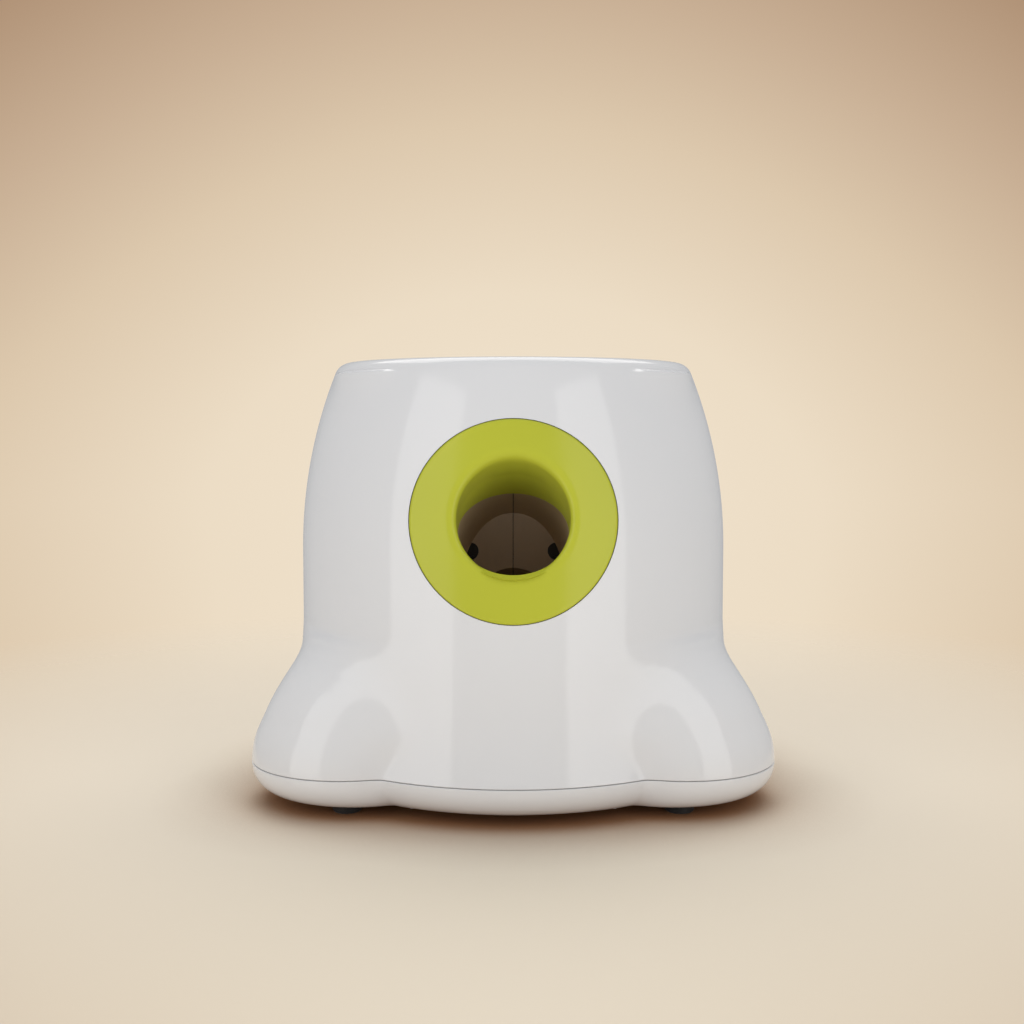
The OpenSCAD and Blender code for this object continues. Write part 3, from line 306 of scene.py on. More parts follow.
def rounded(corners: list[tuple[float, float, float]], steps: int = 6) -> Array:
    """A loop with each corner rounded by a parabola: start, corner and end as a quadratic curve.

    Args:
        corners: Radius, height and rounding of each corner, in order.
        steps: Points on each rounding.

    Returns:
        Points of the loop.
    """
    p = np.array(corners, float)
    before, after = np.roll(p, 1, axis=0), np.roll(p, -1, axis=0)
    t = np.linspace(0, 1, steps)[None, :, None]

    def towards(other: Array) -> Array:
        """Point on the side towards another corner, at the rounding's distance."""
        side = other[:, :2] - p[:, :2]
        length = np.maximum(np.linalg.norm(side, axis=1, keepdims=True), 1e-9)
        return p[:, :2] + side / length * np.minimum(p[:, 2:], length / 2 * 0.98)

    start, end, corner = towards(before)[:, None], towards(after)[:, None], p[:, None, :2]
    curve = (1 - t) ** 2 * start + 2 * t * (1 - t) * corner + t**2 * end
    loop = curve.reshape(-1, 2)
    keep = np.linalg.norm(loop - np.roll(loop, 1, axis=0), axis=1) > 1e-4
    return loop[keep]


def outwards(mesh: Mesh) -> Mesh:
    """A closed mesh with its faces turned outwards: its volume is a sum of the fans' triple products."""
    points, faces = mesh
    corners = np.array([(side[0], side[i], side[i + 1]) for side in faces for i in range(1, len(side) - 1)])
    a, b, c = (points[corners[:, k]] for k in range(3))
    if np.einsum("ij,ij->i", a, np.cross(b, c)).sum() < 0:
        faces = [side[::-1] for side in faces]
    return points, faces


def merged(meshes: list[Mesh]) -> Mesh:
    """Several meshes that don't touch, as one."""
    points, faces, count = [], [], 0
    for part, sides in map(outwards, meshes):
        points.append(part)
        faces += [[i + count for i in side] for side in sides]
        count += len(part)
    return np.concatenate(points), faces


def aimed(mesh: Mesh, origin: Array, direction: Array) -> Mesh:
    """A mesh built about +Z, turned so that +Z runs along a direction, and moved.

    Args:
        mesh: Points and faces.
        origin: Where the mesh's origin goes.
        direction: Where its +Z goes.

    Returns:
        Points and faces.
    """
    w = np.asarray(direction, float) / np.linalg.norm(direction)
    u = np.cross([0.0, 0.0, 1.0] if abs(w[2]) < 0.9 else [1.0, 0.0, 0.0], w)
    u /= np.linalg.norm(u)
    turn = np.stack([u, np.cross(w, u), w])
    return mesh[0] @ turn + np.asarray(origin, float), mesh[1]


def block(low: Triple, high: Triple) -> Mesh:
    """A box between two corners."""
    lo, hi = np.array(low, float), np.array(high, float)
    bits = np.array([[i & 1, i >> 1 & 1, i >> 2 & 1] for i in range(8)])
    faces = [[0, 2, 3, 1], [4, 5, 7, 6], [0, 1, 5, 4], [2, 6, 7, 3], [0, 4, 6, 2], [1, 3, 7, 5]]
    return lo + bits * (hi - lo), faces


def stepped(origin: Triple, direction: Triple, steps: list[Span], sides: int = 96) -> Mesh:
    """A round rod whose radius changes in steps, given as radius and distance along it."""
    return aimed(lathe(np.array(steps, float), sides, False), np.array(origin), np.array(direction))


def rod(origin: Triple, direction: Triple, r: float, length: float, sides: int = 96) -> Mesh:
    """A round rod from an origin along a direction."""
    return stepped(origin, direction, [(r, 0.0), (r, length)], sides)


def swept(path: Array, r: float, sides: int) -> Mesh:
    """A round tube along a path; each ring stands square to the path, turned as little as possible.

    Args:
        path: Points along the middle.
        r: Radius.
        sides: Points round the tube.

    Returns:
        Points and faces.
    """
    ahead = np.gradient(path, axis=0)
    ahead /= np.linalg.norm(ahead, axis=1, keepdims=True)
    guide = np.array([0.36, 0.48, 0.8])
    u = np.cross(ahead, guide)
    u /= np.linalg.norm(u, axis=1, keepdims=True)
    v = np.cross(ahead, u)
    a = round_angles(sides)
    circle = np.cos(a)[None, :, None] * u[:, None] + np.sin(a)[None, :, None] * v[:, None]
    return ring_stack(path[:, None] + r * circle, False)


# Pieces in Blender.


def add_mesh(name: str, mesh: Mesh) -> bpy.types.Object:
    """Puts a mesh in millimetres about the drum's axis into the scene in metres, with its faces outwards.

    Args:
        name: Name of the piece.
        mesh: Points and faces.

    Returns:
        The object, at the origin.
    """
    points, faces = outwards(mesh)
    data = bpy.data.meshes.new(name)
    data.from_pydata(((points + np.array([0.0, DRUM_Y, 0.0])) * MM).tolist(), [], faces)
    data.validate()
    piece = bpy.data.objects.new(name, data)
    bpy.context.scene.collection.objects.link(piece)
    return piece


class Carve(Enum):
    """How one solid acts on another."""

    CUT = "DIFFERENCE"
    JOIN = "UNION"


def carve(piece: bpy.types.Object, mesh: Mesh, how: Carve) -> None:
    """Cuts a solid out of a piece, or joins it on.

    Args:
        piece: The piece to change.
        mesh: The other solid.
        how: What to do.
    """
    tool = add_mesh("tool", mesh)
    modifier = piece.modifiers.new("carve", "BOOLEAN")
    modifier.operation = how.value
    modifier.solver = "MANIFOLD"
    modifier.object = tool
    graph = bpy.context.evaluated_depsgraph_get()
    data = bpy.data.meshes.new_from_object(piece.evaluated_get(graph))
    piece.modifiers.clear()
    old, piece.data = piece.data, data
    bpy.data.meshes.remove(old)
    bpy.data.objects.remove(tool)


def shade(piece: bpy.types.Object, sharp_degrees: float = 30.0) -> None:
    """Smooth shading with sharp edges where two faces meet at more than an angle."""
    data = piece.data
    data.polygons.foreach_set("use_smooth", np.ones(len(data.polygons), bool))
    data.set_sharp_from_angle(angle=math.radians(sharp_degrees))
    data.update()


# Finishes.


class Graph:
    """Adds shader nodes to a tree one after another and joins them."""

    def __init__(self, tree: bpy.types.NodeTree) -> None:
        """Takes the tree."""
        self.tree = tree

    def add(self, kind: str, **settings: object) -> bpy.types.Node:
        """A new node with its settings."""
        node = self.tree.nodes.new(kind)
        for key, value in settings.items():
            setattr(node, key, value)
        return node

    def join(self, source: Socket, target: Socket) -> None:
        """A link between two sockets."""
        self.tree.links.new(source, target)

    def sum(self, operation: str, *values: Socket | float) -> Socket:
        """The result of one operation on sockets and constants."""
        node = self.add("ShaderNodeMath", operation=operation)
        for target, value in zip(node.inputs, values):
            if isinstance(value, Socket):
                self.join(value, target)
            else:
                target.default_value = value
        return node.outputs[0]

    def parts(self, place: Socket) -> bpy.types.NodeOutputs:
        """The X, Y and Z of a place."""
        node = self.add("ShaderNodeSeparateXYZ")
        self.join(place, node.inputs[0])
        return node.outputs

    def length(self, place: Socket) -> Socket:
        """Distance of a place from the origin."""
        node = self.add("ShaderNodeVectorMath", operation="LENGTH")
        self.join(place, node.inputs[0])
        return node.outputs["Value"]

    def mix(self, share: Socket, one: Socket, other: Socket) -> Socket:
        """A shader between two, by a value."""
        node = self.add("ShaderNodeMixShader")
        for source, target in zip((share, one, other), node.inputs):
            self.join(source, target)
        return node.outputs[0]


class Nodes(Graph):
    """The node tree of a material, with its shader and its own coordinates."""

    def __init__(self, material: bpy.types.Material) -> None:
        """Finds the material's shader and adds its coordinates."""
        material.use_nodes = True
        super().__init__(material.node_tree)
        self.shader = self.tree.nodes["Principled BSDF"]
        self.place = self.add("ShaderNodeTexCoord").outputs["Object"]

    def mapped(self, stretch: Triple) -> Socket:
        """The object's own coordinates, stretched along each axis."""
        node = self.add("ShaderNodeMapping")
        node.inputs["Scale"].default_value = stretch
        self.join(self.place, node.inputs["Vector"])
        return node.outputs["Vector"]

    def noise(self, scale: float, detail: float, where: Socket | None = None) -> Socket:
        """Noise from 0 to 1, with so many blobs to the metre."""
        node = self.add("ShaderNodeTexNoise")
        node.inputs["Scale"].default_value = scale
        node.inputs["Detail"].default_value = detail
        self.join(where or self.place, node.inputs["Vector"])
        return node.outputs["Fac"]

    def ramp(self, source: Socket, low: float, high: float, out: Span = (0.0, 1.0)) -> Socket:
        """A value between low and high, spread over an output range."""
        node = self.add("ShaderNodeMapRange")
        for name, value in zip(("From Min", "From Max", "To Min", "To Max"), (low, high, *out)):
            node.inputs[name].default_value = value
        self.join(source, node.inputs["Value"])
        return node.outputs["Result"]

    def tints(self, source: Socket, one: Colour, other: Colour) -> Socket:
        """A colour between two, by a value."""
        node = self.add("ShaderNodeMix", data_type="RGBA")
        colours = [socket for socket in node.inputs if socket.type == "RGBA"]
        for socket, colour in zip(colours, (one, other)):
            socket.default_value = (*colour, 1.0)
        self.join(source, node.inputs["Factor"])
        return [socket for socket in node.outputs if socket.type == "RGBA"][0]

    def bump(self, height: Socket, depth: float, below: Socket | None = None) -> Socket:
        """Surface relief of a depth in metres, on top of another relief."""
        node = self.add("ShaderNodeBump")
        node.inputs["Strength"].default_value = 1.0
        node.inputs["Distance"].default_value = depth
        self.join(height, node.inputs["Height"])
        if below:
            self.join(below, node.inputs["Normal"])
        return node.outputs["Normal"]

    def feed(self, **sources: Socket) -> None:
        """Joins sockets to the shader's own; an underscore stands for a space."""
        for key, source in sources.items():
            self.join(source, self.shader.inputs[key.replace("_", " ")])

    def set(self, **values: float) -> None:
        """Constant values on the shader's own sockets; an underscore stands for a space."""
        for key, value in values.items():
            self.shader.inputs[key.replace("_", " ")].default_value = value


class Gloss(Enum):
    """Roughness of a moulded surface."""

    POLISHED = 0.1
    GLOSSY = 0.2
    SATIN = 0.36
    GRAINED = 0.55


@dataclass(frozen=True)
class MouldedPlastic:
    """Injection-moulded plastic: a faint drift of colour, soft flow ripple, fine grain and patchy gloss."""

    name: str
    colour: Colour
    gloss: Gloss
    drift: float = 0.03
    ripple: float = 0.00001
    grain: float = 0.0
    shine: float = 0.5
    glow: float = 0.0
    seam: float = 0.0

    def material(self) -> bpy.types.Material:
        """Builds the node material."""
        material = bpy.data.materials.new(self.name)
        n = Nodes(material)
        dim = tuple(c * (1 - self.drift) for c in self.colour)
        rough = self.gloss.value
        n.feed(
            Base_Color=n.tints(n.ramp(n.noise(9.0, 2.0), 0.35, 0.65), dim, self.colour),
            Roughness=n.ramp(n.noise(60.0, 4.0), 0.3, 0.7, (rough * 0.9, rough * 1.15)),
        )
        relief = n.bump(n.noise(35.0, 1.0), self.ripple)
        if self.grain:
            relief = n.bump(n.noise(2600.0, 2.0), self.grain, relief)
        n.feed(Normal=relief)
        n.set(IOR=1.49, Specular_IOR_Level=self.shine)
        if self.seam:
            self.draw_seam(n)
        if self.glow:
            n.set(Emission_Color=(*self.colour, 1.0), Emission_Strength=self.glow)
        return material

    def draw_seam(self, n: Nodes) -> None:
        """Darkens a fine line where two halves of a moulding meet: the distance from the plane x = 0."""
        away = n.sum("ABSOLUTE", n.parts(n.place)["X"])
        plain = n.shader.inputs["Base Color"].links[0].from_socket
        line = n.add("ShaderNodeMix", data_type="RGBA")
        share, base, dark = (line.inputs[i] for i in (0, 6, 7))
        n.join(n.ramp(away, self.seam * 0.5, self.seam, (1.0, 0.0)), share)
        n.join(plain, base)
        dark.default_value = (*(0.2 * value for value in self.colour), 1.0)
        n.feed(Base_Color=line.outputs[2])


@dataclass(frozen=True)
class MouldedRubber:
    """Soft rubber: dark, with a fine stipple, a paler bloom in patches and no sharp shine."""

    name: str
    colour: Colour
    bloom: Colour

    def material(self) -> bpy.types.Material:
        """Builds the node material."""
        material = bpy.data.materials.new(self.name)
        n = Nodes(material)
        n.feed(
            Base_Color=n.tints(n.ramp(n.noise(140.0, 5.0), 0.45, 0.8), self.colour, self.bloom),
            Roughness=n.ramp(n.noise(300.0, 3.0), 0.3, 0.7, (0.5, 0.75)),
            Normal=n.bump(n.noise(1800.0, 2.0), 0.00004),
        )
        n.set(IOR=1.52, Sheen_Weight=0.15, Sheen_Roughness=0.5)
        return material


@dataclass(frozen=True)
class DrawnMetal:
    """Metal with fine lines along one axis, faint blotches in its tint and uneven gloss."""

    name: str
    colour: Colour
    tarnish: Colour
    rough: float
    lines: tuple[float, float, float] = (40.0, 900.0, 900.0)

    def material(self) -> bpy.types.Material:
        """Builds the node material."""
        material = bpy.data.materials.new(self.name)
        n = Nodes(material)
        streaks = n.noise(1.0, 3.0, n.mapped(self.lines))
        n.feed(
            Base_Color=n.tints(n.ramp(n.noise(55.0, 4.0), 0.4, 0.75), self.colour, self.tarnish),
            Roughness=n.ramp(streaks, 0.25, 0.75, (self.rough * 0.7, self.rough * 1.3)),
            Normal=n.bump(streaks, 0.00001),
        )
        n.set(Metallic=1.0)
        return material


@dataclass(frozen=True)
class SolderMask:
    """Lacquered circuit board: copper runs show as slightly raised, lighter squares and lines."""

    name: str
    colour: Colour
    track: Colour

    def material(self) -> bpy.types.Material:
        """Builds the node material."""
        material = bpy.data.materials.new(self.name)
        n = Nodes(material)
        bricks = n.add("ShaderNodeTexBrick")
        bricks.inputs["Scale"].default_value = 110.0
        bricks.inputs["Mortar Size"].default_value = 0.035
        n.join(n.mapped((1.0, 1.0, 1.0)), bricks.inputs["Vector"])
        n.feed(
            Base_Color=n.tints(bricks.outputs["Fac"], self.colour, self.track),
            Roughness=n.ramp(n.noise(400.0, 2.0), 0.3, 0.7, (0.22, 0.34)),
            Normal=n.bump(bricks.outputs["Fac"], 0.00003),
        )
        n.set(IOR=1.5, Coat_Weight=0.3)
        return material


@dataclass(frozen=True)
class ShrinkWrap:
    """Thin shrunk film over a cell: a dark body with a paler band round its middle and fine puckers."""

    name: str
    colour: Colour
    band: Colour

    def material(self) -> bpy.types.Material:
        """Builds the node material."""
        material = bpy.data.materials.new(self.name)
        n = Nodes(material)
        wave = n.add("ShaderNodeTexWave", bands_direction="X")
        wave.inputs["Scale"].default_value = 6.2
        wave.inputs["Distortion"].default_value = 0.0
        n.join(n.place, wave.inputs["Vector"])
        n.feed(
            Base_Color=n.tints(n.ramp(wave.outputs["Fac"], 0.68, 0.72), self.colour, self.band),
            Roughness=n.ramp(n.noise(200.0, 2.0), 0.3, 0.7, (0.2, 0.3)),
            Normal=n.bump(n.noise(1.0, 2.0, n.mapped((500.0, 60.0, 60.0))), 0.00004),
        )
        n.set(IOR=1.5, Coat_Weight=0.2)
        return material


Finish = MouldedPlastic | MouldedRubber | DrawnMetal | SolderMask | ShrinkWrap


class Finishes:
    """The finishes of this launcher, each made into a material once."""

    def __init__(self) -> None:
        """Lists the finishes by the record's material slots."""
        self.by_slot: dict[str, Finish] = {
            "shell_plastic": MouldedPlastic(
                "white_gloss_shell", (0.785, 0.78, 0.785), Gloss.POLISHED, 0.012, 0.000004, shine=0.42
            ),
            # The chamber is white plastic; its colour is darkened to tan to paint in the shade that falls
            # inside it.
            "chamber_plastic": MouldedPlastic(
                "white_satin_chamber_painted_shade", (0.42, 0.31, 0.20), Gloss.GRAINED, 0.03, 0.00002, seam=0.0004
            ),
            "ring_plastic": MouldedPlastic(
                "yellow_green_ring", (0.53, 0.55, 0.045), Gloss.GLOSSY, 0.04, 0.00001, shine=0.25
            ),
            "grey_plastic": MouldedPlastic(
                "grained_grey", (0.075, 0.08, 0.085), Gloss.GRAINED, 0.08, 0.00001, 0.00003
            ),
            "dark_plastic": MouldedPlastic(
                "grained_black", (0.012, 0.012, 0.013), Gloss.SATIN, 0.1, 0.00001, 0.00002
            ),
            "natural_plastic": MouldedPlastic(
                "natural_acetal", (0.68, 0.62, 0.49), Gloss.SATIN, 0.06, 0.00002
            ),
            "light_plastic": MouldedPlastic(
                "green_light_pipe", (0.16, 0.62, 0.2), Gloss.POLISHED, 0.05, 0.0, glow=0.4
            ),
            "pad_rubber": MouldedRubber("striker_pad_rubber", (0.02, 0.02, 0.022), (0.05, 0.048, 0.045)),
            "foot_rubber": MouldedRubber("black_foot_rubber", (0.006, 0.006, 0.006), (0.02, 0.019, 0.018)),
            "steel": DrawnMetal("bright_zinc_steel", (0.56, 0.56, 0.58), (0.42, 0.41, 0.4), 0.28),
            "plate_steel": DrawnMetal(
                "satin_sheet_steel", (0.42, 0.43, 0.44), (0.33, 0.33, 0.33), 0.42, (900.0, 60.0, 900.0)
            ),
            "nickel": DrawnMetal("bright_nickel", (0.66, 0.62, 0.56), (0.5, 0.46, 0.4), 0.16),
            "brass": DrawnMetal("cut_brass", (0.72, 0.52, 0.22), (0.5, 0.34, 0.14), 0.24),
            "board": SolderMask("green_solder_mask", (0.006, 0.06, 0.02), (0.02, 0.13, 0.045)),
            "cell_wrap": ShrinkWrap("slate_cell_wrap", (0.03, 0.04, 0.055), (0.22, 0.2, 0.16)),
            "red_wire": MouldedPlastic("red_insulation", (0.42, 0.012, 0.01), Gloss.SATIN, 0.08, 0.00001),
            "grey_wire": MouldedPlastic("grey_insulation", (0.12, 0.12, 0.125), Gloss.SATIN, 0.08, 0.00001),
        }
        self.made: dict[str, bpy.types.Material] = {}

    def material(self, slot: str) -> bpy.types.Material:
        """The material of a slot of the record."""
        if slot not in self.made:
            self.made[slot] = self.by_slot[slot].material()
        return self.made[slot]

    def dress(self, piece: bpy.types.Object, slot: str, body: str) -> bpy.types.Object:
        """Gives a new piece its material and its smooth shading, and lets it ride on a body.

        Args:
            piece: The piece.
            slot: Its material slot.
            body: The body that it moves with.

        Returns:
            The piece.
        """
        piece.data.materials.clear()
        piece.data.materials.append(self.material(slot))
        shade(piece)
        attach(piece, body)
        LOG.info("%s: %d faces", piece.name, len(piece.data.polygons))
        return piece

    def dress_nodes(self) -> None:
        """Gives every CAD node the material of its slot."""
        for entry in frame["record"]["subparts"]:
            data = frame["nodes"][entry["node"]].data
            data.materials.clear()
            data.materials.append(self.material(entry["material_slot"]))


# Sub-assemblies.


@dataclass(frozen=True)
class DrumPatch:
    """A round patch of the drum's wall at the back, with a rounded edge on its outer face."""

    middle_z: float
    r: float
    inner: float
    outer: float
    edge: float
    middle_r: float = 0.5
    outer_rows: int = 24
    edge_rows: int = 7
    inner_rows: int = 16
    sectors: int = 192

    def mesh(self) -> Mesh:
        """Rings of points round the middle, pushed out in Y to the drum's surface plus each ring's offset."""
        bend = np.linspace(0, np.pi / 2, self.edge_rows)[1:]
        start = self.r - self.edge
        radii = np.concatenate([
            np.linspace(self.middle_r, start, self.outer_rows),
            start + self.edge * np.sin(bend),
            np.linspace(self.r, self.middle_r, self.inner_rows),
        ])
        offsets = np.concatenate([
            np.full(self.outer_rows, self.outer),
            self.outer - self.edge + self.edge * np.cos(bend),
            np.full(self.inner_rows, self.inner),
        ])
        a = round_angles(self.sectors)
        x, z = radii[:, None] * np.cos(a), self.middle_z + radii[:, None] * np.sin(a)
        y = np.sqrt((BODY.barrel(z) + offsets[:, None]) ** 2 - x**2)
        return ring_stack(np.stack([x, y, z], axis=-1), False)


def level_ring(a: Array, r: Array | float, z: float) -> Array:
    """Points at one height, with a radius for each direction or one for all."""
    return np.stack([r * np.cos(a), r * np.sin(a), np.full_like(a, z)], axis=-1)


@dataclass
class Shell:
    """The white one-piece body: drum, skirt, lobes and rolled rim, open below and on top."""

    finishes: Finishes
    sectors: int = 540
    chamfer: float = 0.35
    skirt_rise: float = 76.0
    skirt_rows: int = 54
    wall_z: Span = (100.0, 229.0)
    wall_rows: int = 36
    rim_rows: int = 13
    # Steps of the edge on which the funnel sits, as distance outwards and depth below the rim.
    ledge: tuple[Span, ...] = ((0.6, 0.0), (0.18, 0.18), (0.0, 0.6), (0.0, 2.6), (0.4, 3.0))
    inner_wall_z: Span = (222.0, 104.0)
    inner_wall_rows: int = 12
    inner_skirt_z: float = 97.0
    inner_skirt_rows: int = 20
    ring_hole_r: Span = (52.75, 51.25)
    ring_z: float = 153.5
    panel_hole_r: float = 24.35
    panel_z: float = 178.0
    socket_z: float = 36.0
    socket_seat_y: float = 154.5
    socket_r: float = 6.0
    nut_r: float = 8.0
    boss_r: float = 9.0
    boss_t: float = 6.5

    def skin(self) -> Mesh:
        """Outer and inner skins as one loop of rings: seam edge, skirt, belly, rim, ledge and back down."""
        a = round_angles(self.sectors)
        low = BODY.seam_z + BODY.seam_gap / 2
        skirt = low + self.chamfer + np.linspace(0, self.skirt_rise, self.skirt_rows)
        outer = [level_ring(a, BODY.outline(a, low) - self.chamfer, low)]
        outer += [
            level_ring(a, BODY.outline(a, z), z)
            for z in np.concatenate([skirt, np.linspace(*self.wall_z, self.wall_rows)])
        ]
        turn = np.linspace(BODY.corner_middle()[1], math.pi / 2, self.rim_rows)
        ledge = [(BODY.ledge_r + out, BODY.rim_z - deep) for out, deep in self.ledge]
        rim = self.rim(turn, 0.0) + ledge + self.rim(turn[::-3], BODY.wall)
        inner_z = np.concatenate([
            np.linspace(*self.inner_wall_z, self.inner_wall_rows),
            np.linspace(self.inner_skirt_z, low + BODY.wall, self.inner_skirt_rows),
            [low],
        ])
        inner = [level_ring(a, BODY.outline(a, z) - BODY.wall, z) for z in inner_z]
        return ring_stack(np.stack(outer + [level_ring(a, r, z) for r, z in rim] + inner), True)

    @staticmethod
    def rim(turn: Array, inset: float) -> list[Span]:
        """Radius and height along the rim's rounding, drawn in by an inset."""
        middle, r = BODY.corner_middle()[0], BODY.rim_corner_r
        low, reach = BODY.rim_z - r, r - inset
        return [(middle + reach * math.cos(t), low + reach * math.sin(t)) for t in turn]

    def build(self) -> bpy.types.Object:
        """Makes the shell with its openings for the mouth ring, the control panel and the power socket."""
        shell = add_mesh("body_shell", self.skin())
        boss_y = self.socket_seat_y - self.socket_r
        carve(shell, rod((0, boss_y, self.socket_z), BACK, self.boss_r, self.boss_t), Carve.JOIN)
        front_y, middle_y, back_y, through = -140.0, 60.0, 130.0, 80.0
        mouth, sides = rod((0, front_y, 0), BACK, 1.0, through)
        mouth[:, [0, 2]] *= np.array(self.ring_hole_r)
        mouth[:, 2] += self.ring_z
        seat, outside = self.socket_seat_y - back_y, 50.0
        steps = [(self.socket_r, 0), (self.socket_r, seat), (self.nut_r, seat), (self.nut_r, outside)]
        carve(shell, merged([
            (mouth, sides),
            rod((0, middle_y, self.panel_z), BACK, self.panel_hole_r, through),
            stepped((0, back_y, self.socket_z), BACK, steps),
        ]), Carve.CUT)
        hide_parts("upper_shell")
        return self.finishes.dress(shell, "shell_plastic", "launcher")


@dataclass
class Tray:
    """The white base tray: a shallow bowl under the body with a rounded lower edge and a battery box."""

    finishes: Finishes
    sectors: int = 480
    floor_z: float = 4.0
    climb: float = 1.5
    climb_run: float = 12.0
    floor_t: float = 3.5
    edge_r: float = 15.8
    edge_rows: int = 22
    chamfer: float = 0.35
    inner_z: Triple = (18.0, 14.0, 11.0)
    box_x: float = 52.0
    box_y: Span = (-100.0, -18.0)
    box_top_z: float = 33.8
    box_wall: float = 2.0
    door_t: float = 2.0
    door_gap: float = 1.35
    door_tongue: float = 12.35
    screw_away: float = 15.0
    screw_ring_r: float = 134.5
    front_screw_r: float = 115.0
    post_r: float = 5.0
    leg_places: tuple[Span, ...] = ((22.0, 6.0), (-22.0, 6.0), (16.0, 84.0), (-16.0, 84.0))
    leg_post_r: float = 6.5
    leg_post_z: float = 18.0
    # Radius round the head, radius round the shank, and height to which the head is sunk.
    screw_hole: Triple = (3.3, 1.7, 12.0)
    leg_hole: Triple = (3.6, 1.9, 9.0)

    def inset(self, z: float) -> float:
        """How far the rounded lower edge stands in at a height: a quarter circle."""
        over = max(self.floor_z + self.climb + self.edge_r - z, 0.0)
        return self.edge_r - math.sqrt(max(self.edge_r**2 - over**2, 0.0))

    def skin(self) -> Mesh:
        """The bowl: its flat underside, the climb to the rounded edge, the seam edge and the floor inside."""
        rise, top = self.floor_z + self.climb, BODY.seam_z - BODY.seam_gap / 2
        steps = [(self.floor_z, self.edge_r + self.climb_run)]
        for t in np.radians(np.linspace(0, 90, self.edge_rows)):
            steps.append((rise + self.edge_r * (1 - math.cos(t)), self.edge_r * (1 - math.sin(t))))
        steps += [(top - self.chamfer, 0.0), (top, self.chamfer), (top, BODY.wall)]
        steps += [(z, self.inset(z) + BODY.wall) for z in self.inner_z]
        floor = rise + self.floor_t
        steps.append((floor, self.inset(floor) + BODY.wall + 1))
        a = round_angles(self.sectors)
        outline = BODY.outline(a, BODY.seam_z)
        return ring_stack(np.stack([level_ring(a, outline - inset, z) for z, inset in steps]), False)

    def screw_places(self) -> Array:
        """Plan places of the screws that hold the shell."""
        middles, away = BODY.lobe_angles(), math.radians(self.screw_away)
        angles = np.concatenate([middles - away, middles + away])
        ring = self.screw_ring_r * np.stack([np.cos(angles), np.sin(angles)], axis=-1)
        return np.concatenate([ring, [[0.0, -self.front_screw_r]]])

    def build(self) -> bpy.types.Object:
        """Makes the tray with its battery box, door recess, feet holes and sunk screw holes."""
        tray = add_mesh("base_tray_skin", self.skin())
        x, (front, back), wall = self.box_x, self.box_y, self.box_wall
        low, top = self.floor_z + self.climb + self.floor_t - 1, BODY.seam_z - BODY.seam_gap / 2
        posts = [rod((px, py, low), UP, self.post_r, top - low) for px, py in self.screw_places()]
        leg_post = self.leg_post_r, self.leg_post_z - low
        posts += [rod((px, py, low), UP, *leg_post) for px, py in self.leg_places]
        box = block((-x - wall, front - wall, low), (x + wall, back + wall, self.box_top_z + wall))
        carve(tray, merged(posts + [box]), Carve.JOIN)
        above = 40.0
        kinds = (self.screw_places(), self.screw_hole), (self.leg_places, self.leg_hole)
        holes = [
            stepped((px, py, 0), UP, [(head_r, 0), (head_r, deep), (shank_r, deep), (shank_r, above)])
            for places, (head_r, shank_r, deep) in kinds
            for px, py in places
        ]
        carve(tray, merged(holes), Carve.CUT)
        under_z = self.floor_z - 1
        carve(tray, block((-x, front, under_z), (x, back, self.box_top_z)), Carve.CUT)
        low_corner = (-x - self.door_gap, front - self.door_gap, under_z)
        high_corner = (x + self.door_gap, back + self.door_tongue, self.floor_z + self.door_t)
        carve(tray, block(low_corner, high_corner), Carve.CUT)
        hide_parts("base_tray")
        return self.finishes.dress(tray, "shell_plastic", "launcher")


@dataclass
class Hopper:
    """The white funnel that balls are dropped into: a rounded collar, a deep cone and a short spout."""

    finishes: Finishes
    sectors: int = 300
    # Radius, height and rounding of each corner: up the inside, over the collar and down the outside.
    inside: tuple[Triple, ...] = (
        (31, 166, 0.5), (31, 178, 2), (33, 181.4, 4), (82.5, 220, 5), (86.5, 225, 3), (88.25, 234.4, 0.8),
    )
    collar: tuple[Triple, ...] = (
        (90.05, 236, 0.7), (91.65, 236, 0.5), (91.65, 230.4, 0.2), (99, 230.4, 0.2), (99, 228, 0.2),
    )
    outside: tuple[Triple, ...] = (
        (88.5, 228, 1), (88.9, 224.4, 1.5), (84.5, 218, 3), (35.3, 179, 3), (33.3, 175, 2), (33.3, 166, 0.5),
    )

    def build(self) -> bpy.types.Object:
        """Turns the funnel's rounded profile once round the drum's axis."""
        profile = rounded([*self.inside, *self.collar, *self.outside])
        funnel = add_mesh("hopper_bowl", lathe(profile, self.sectors, True))
        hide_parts("hopper_funnel")
        return self.finishes.dress(funnel, "shell_plastic", "launcher")


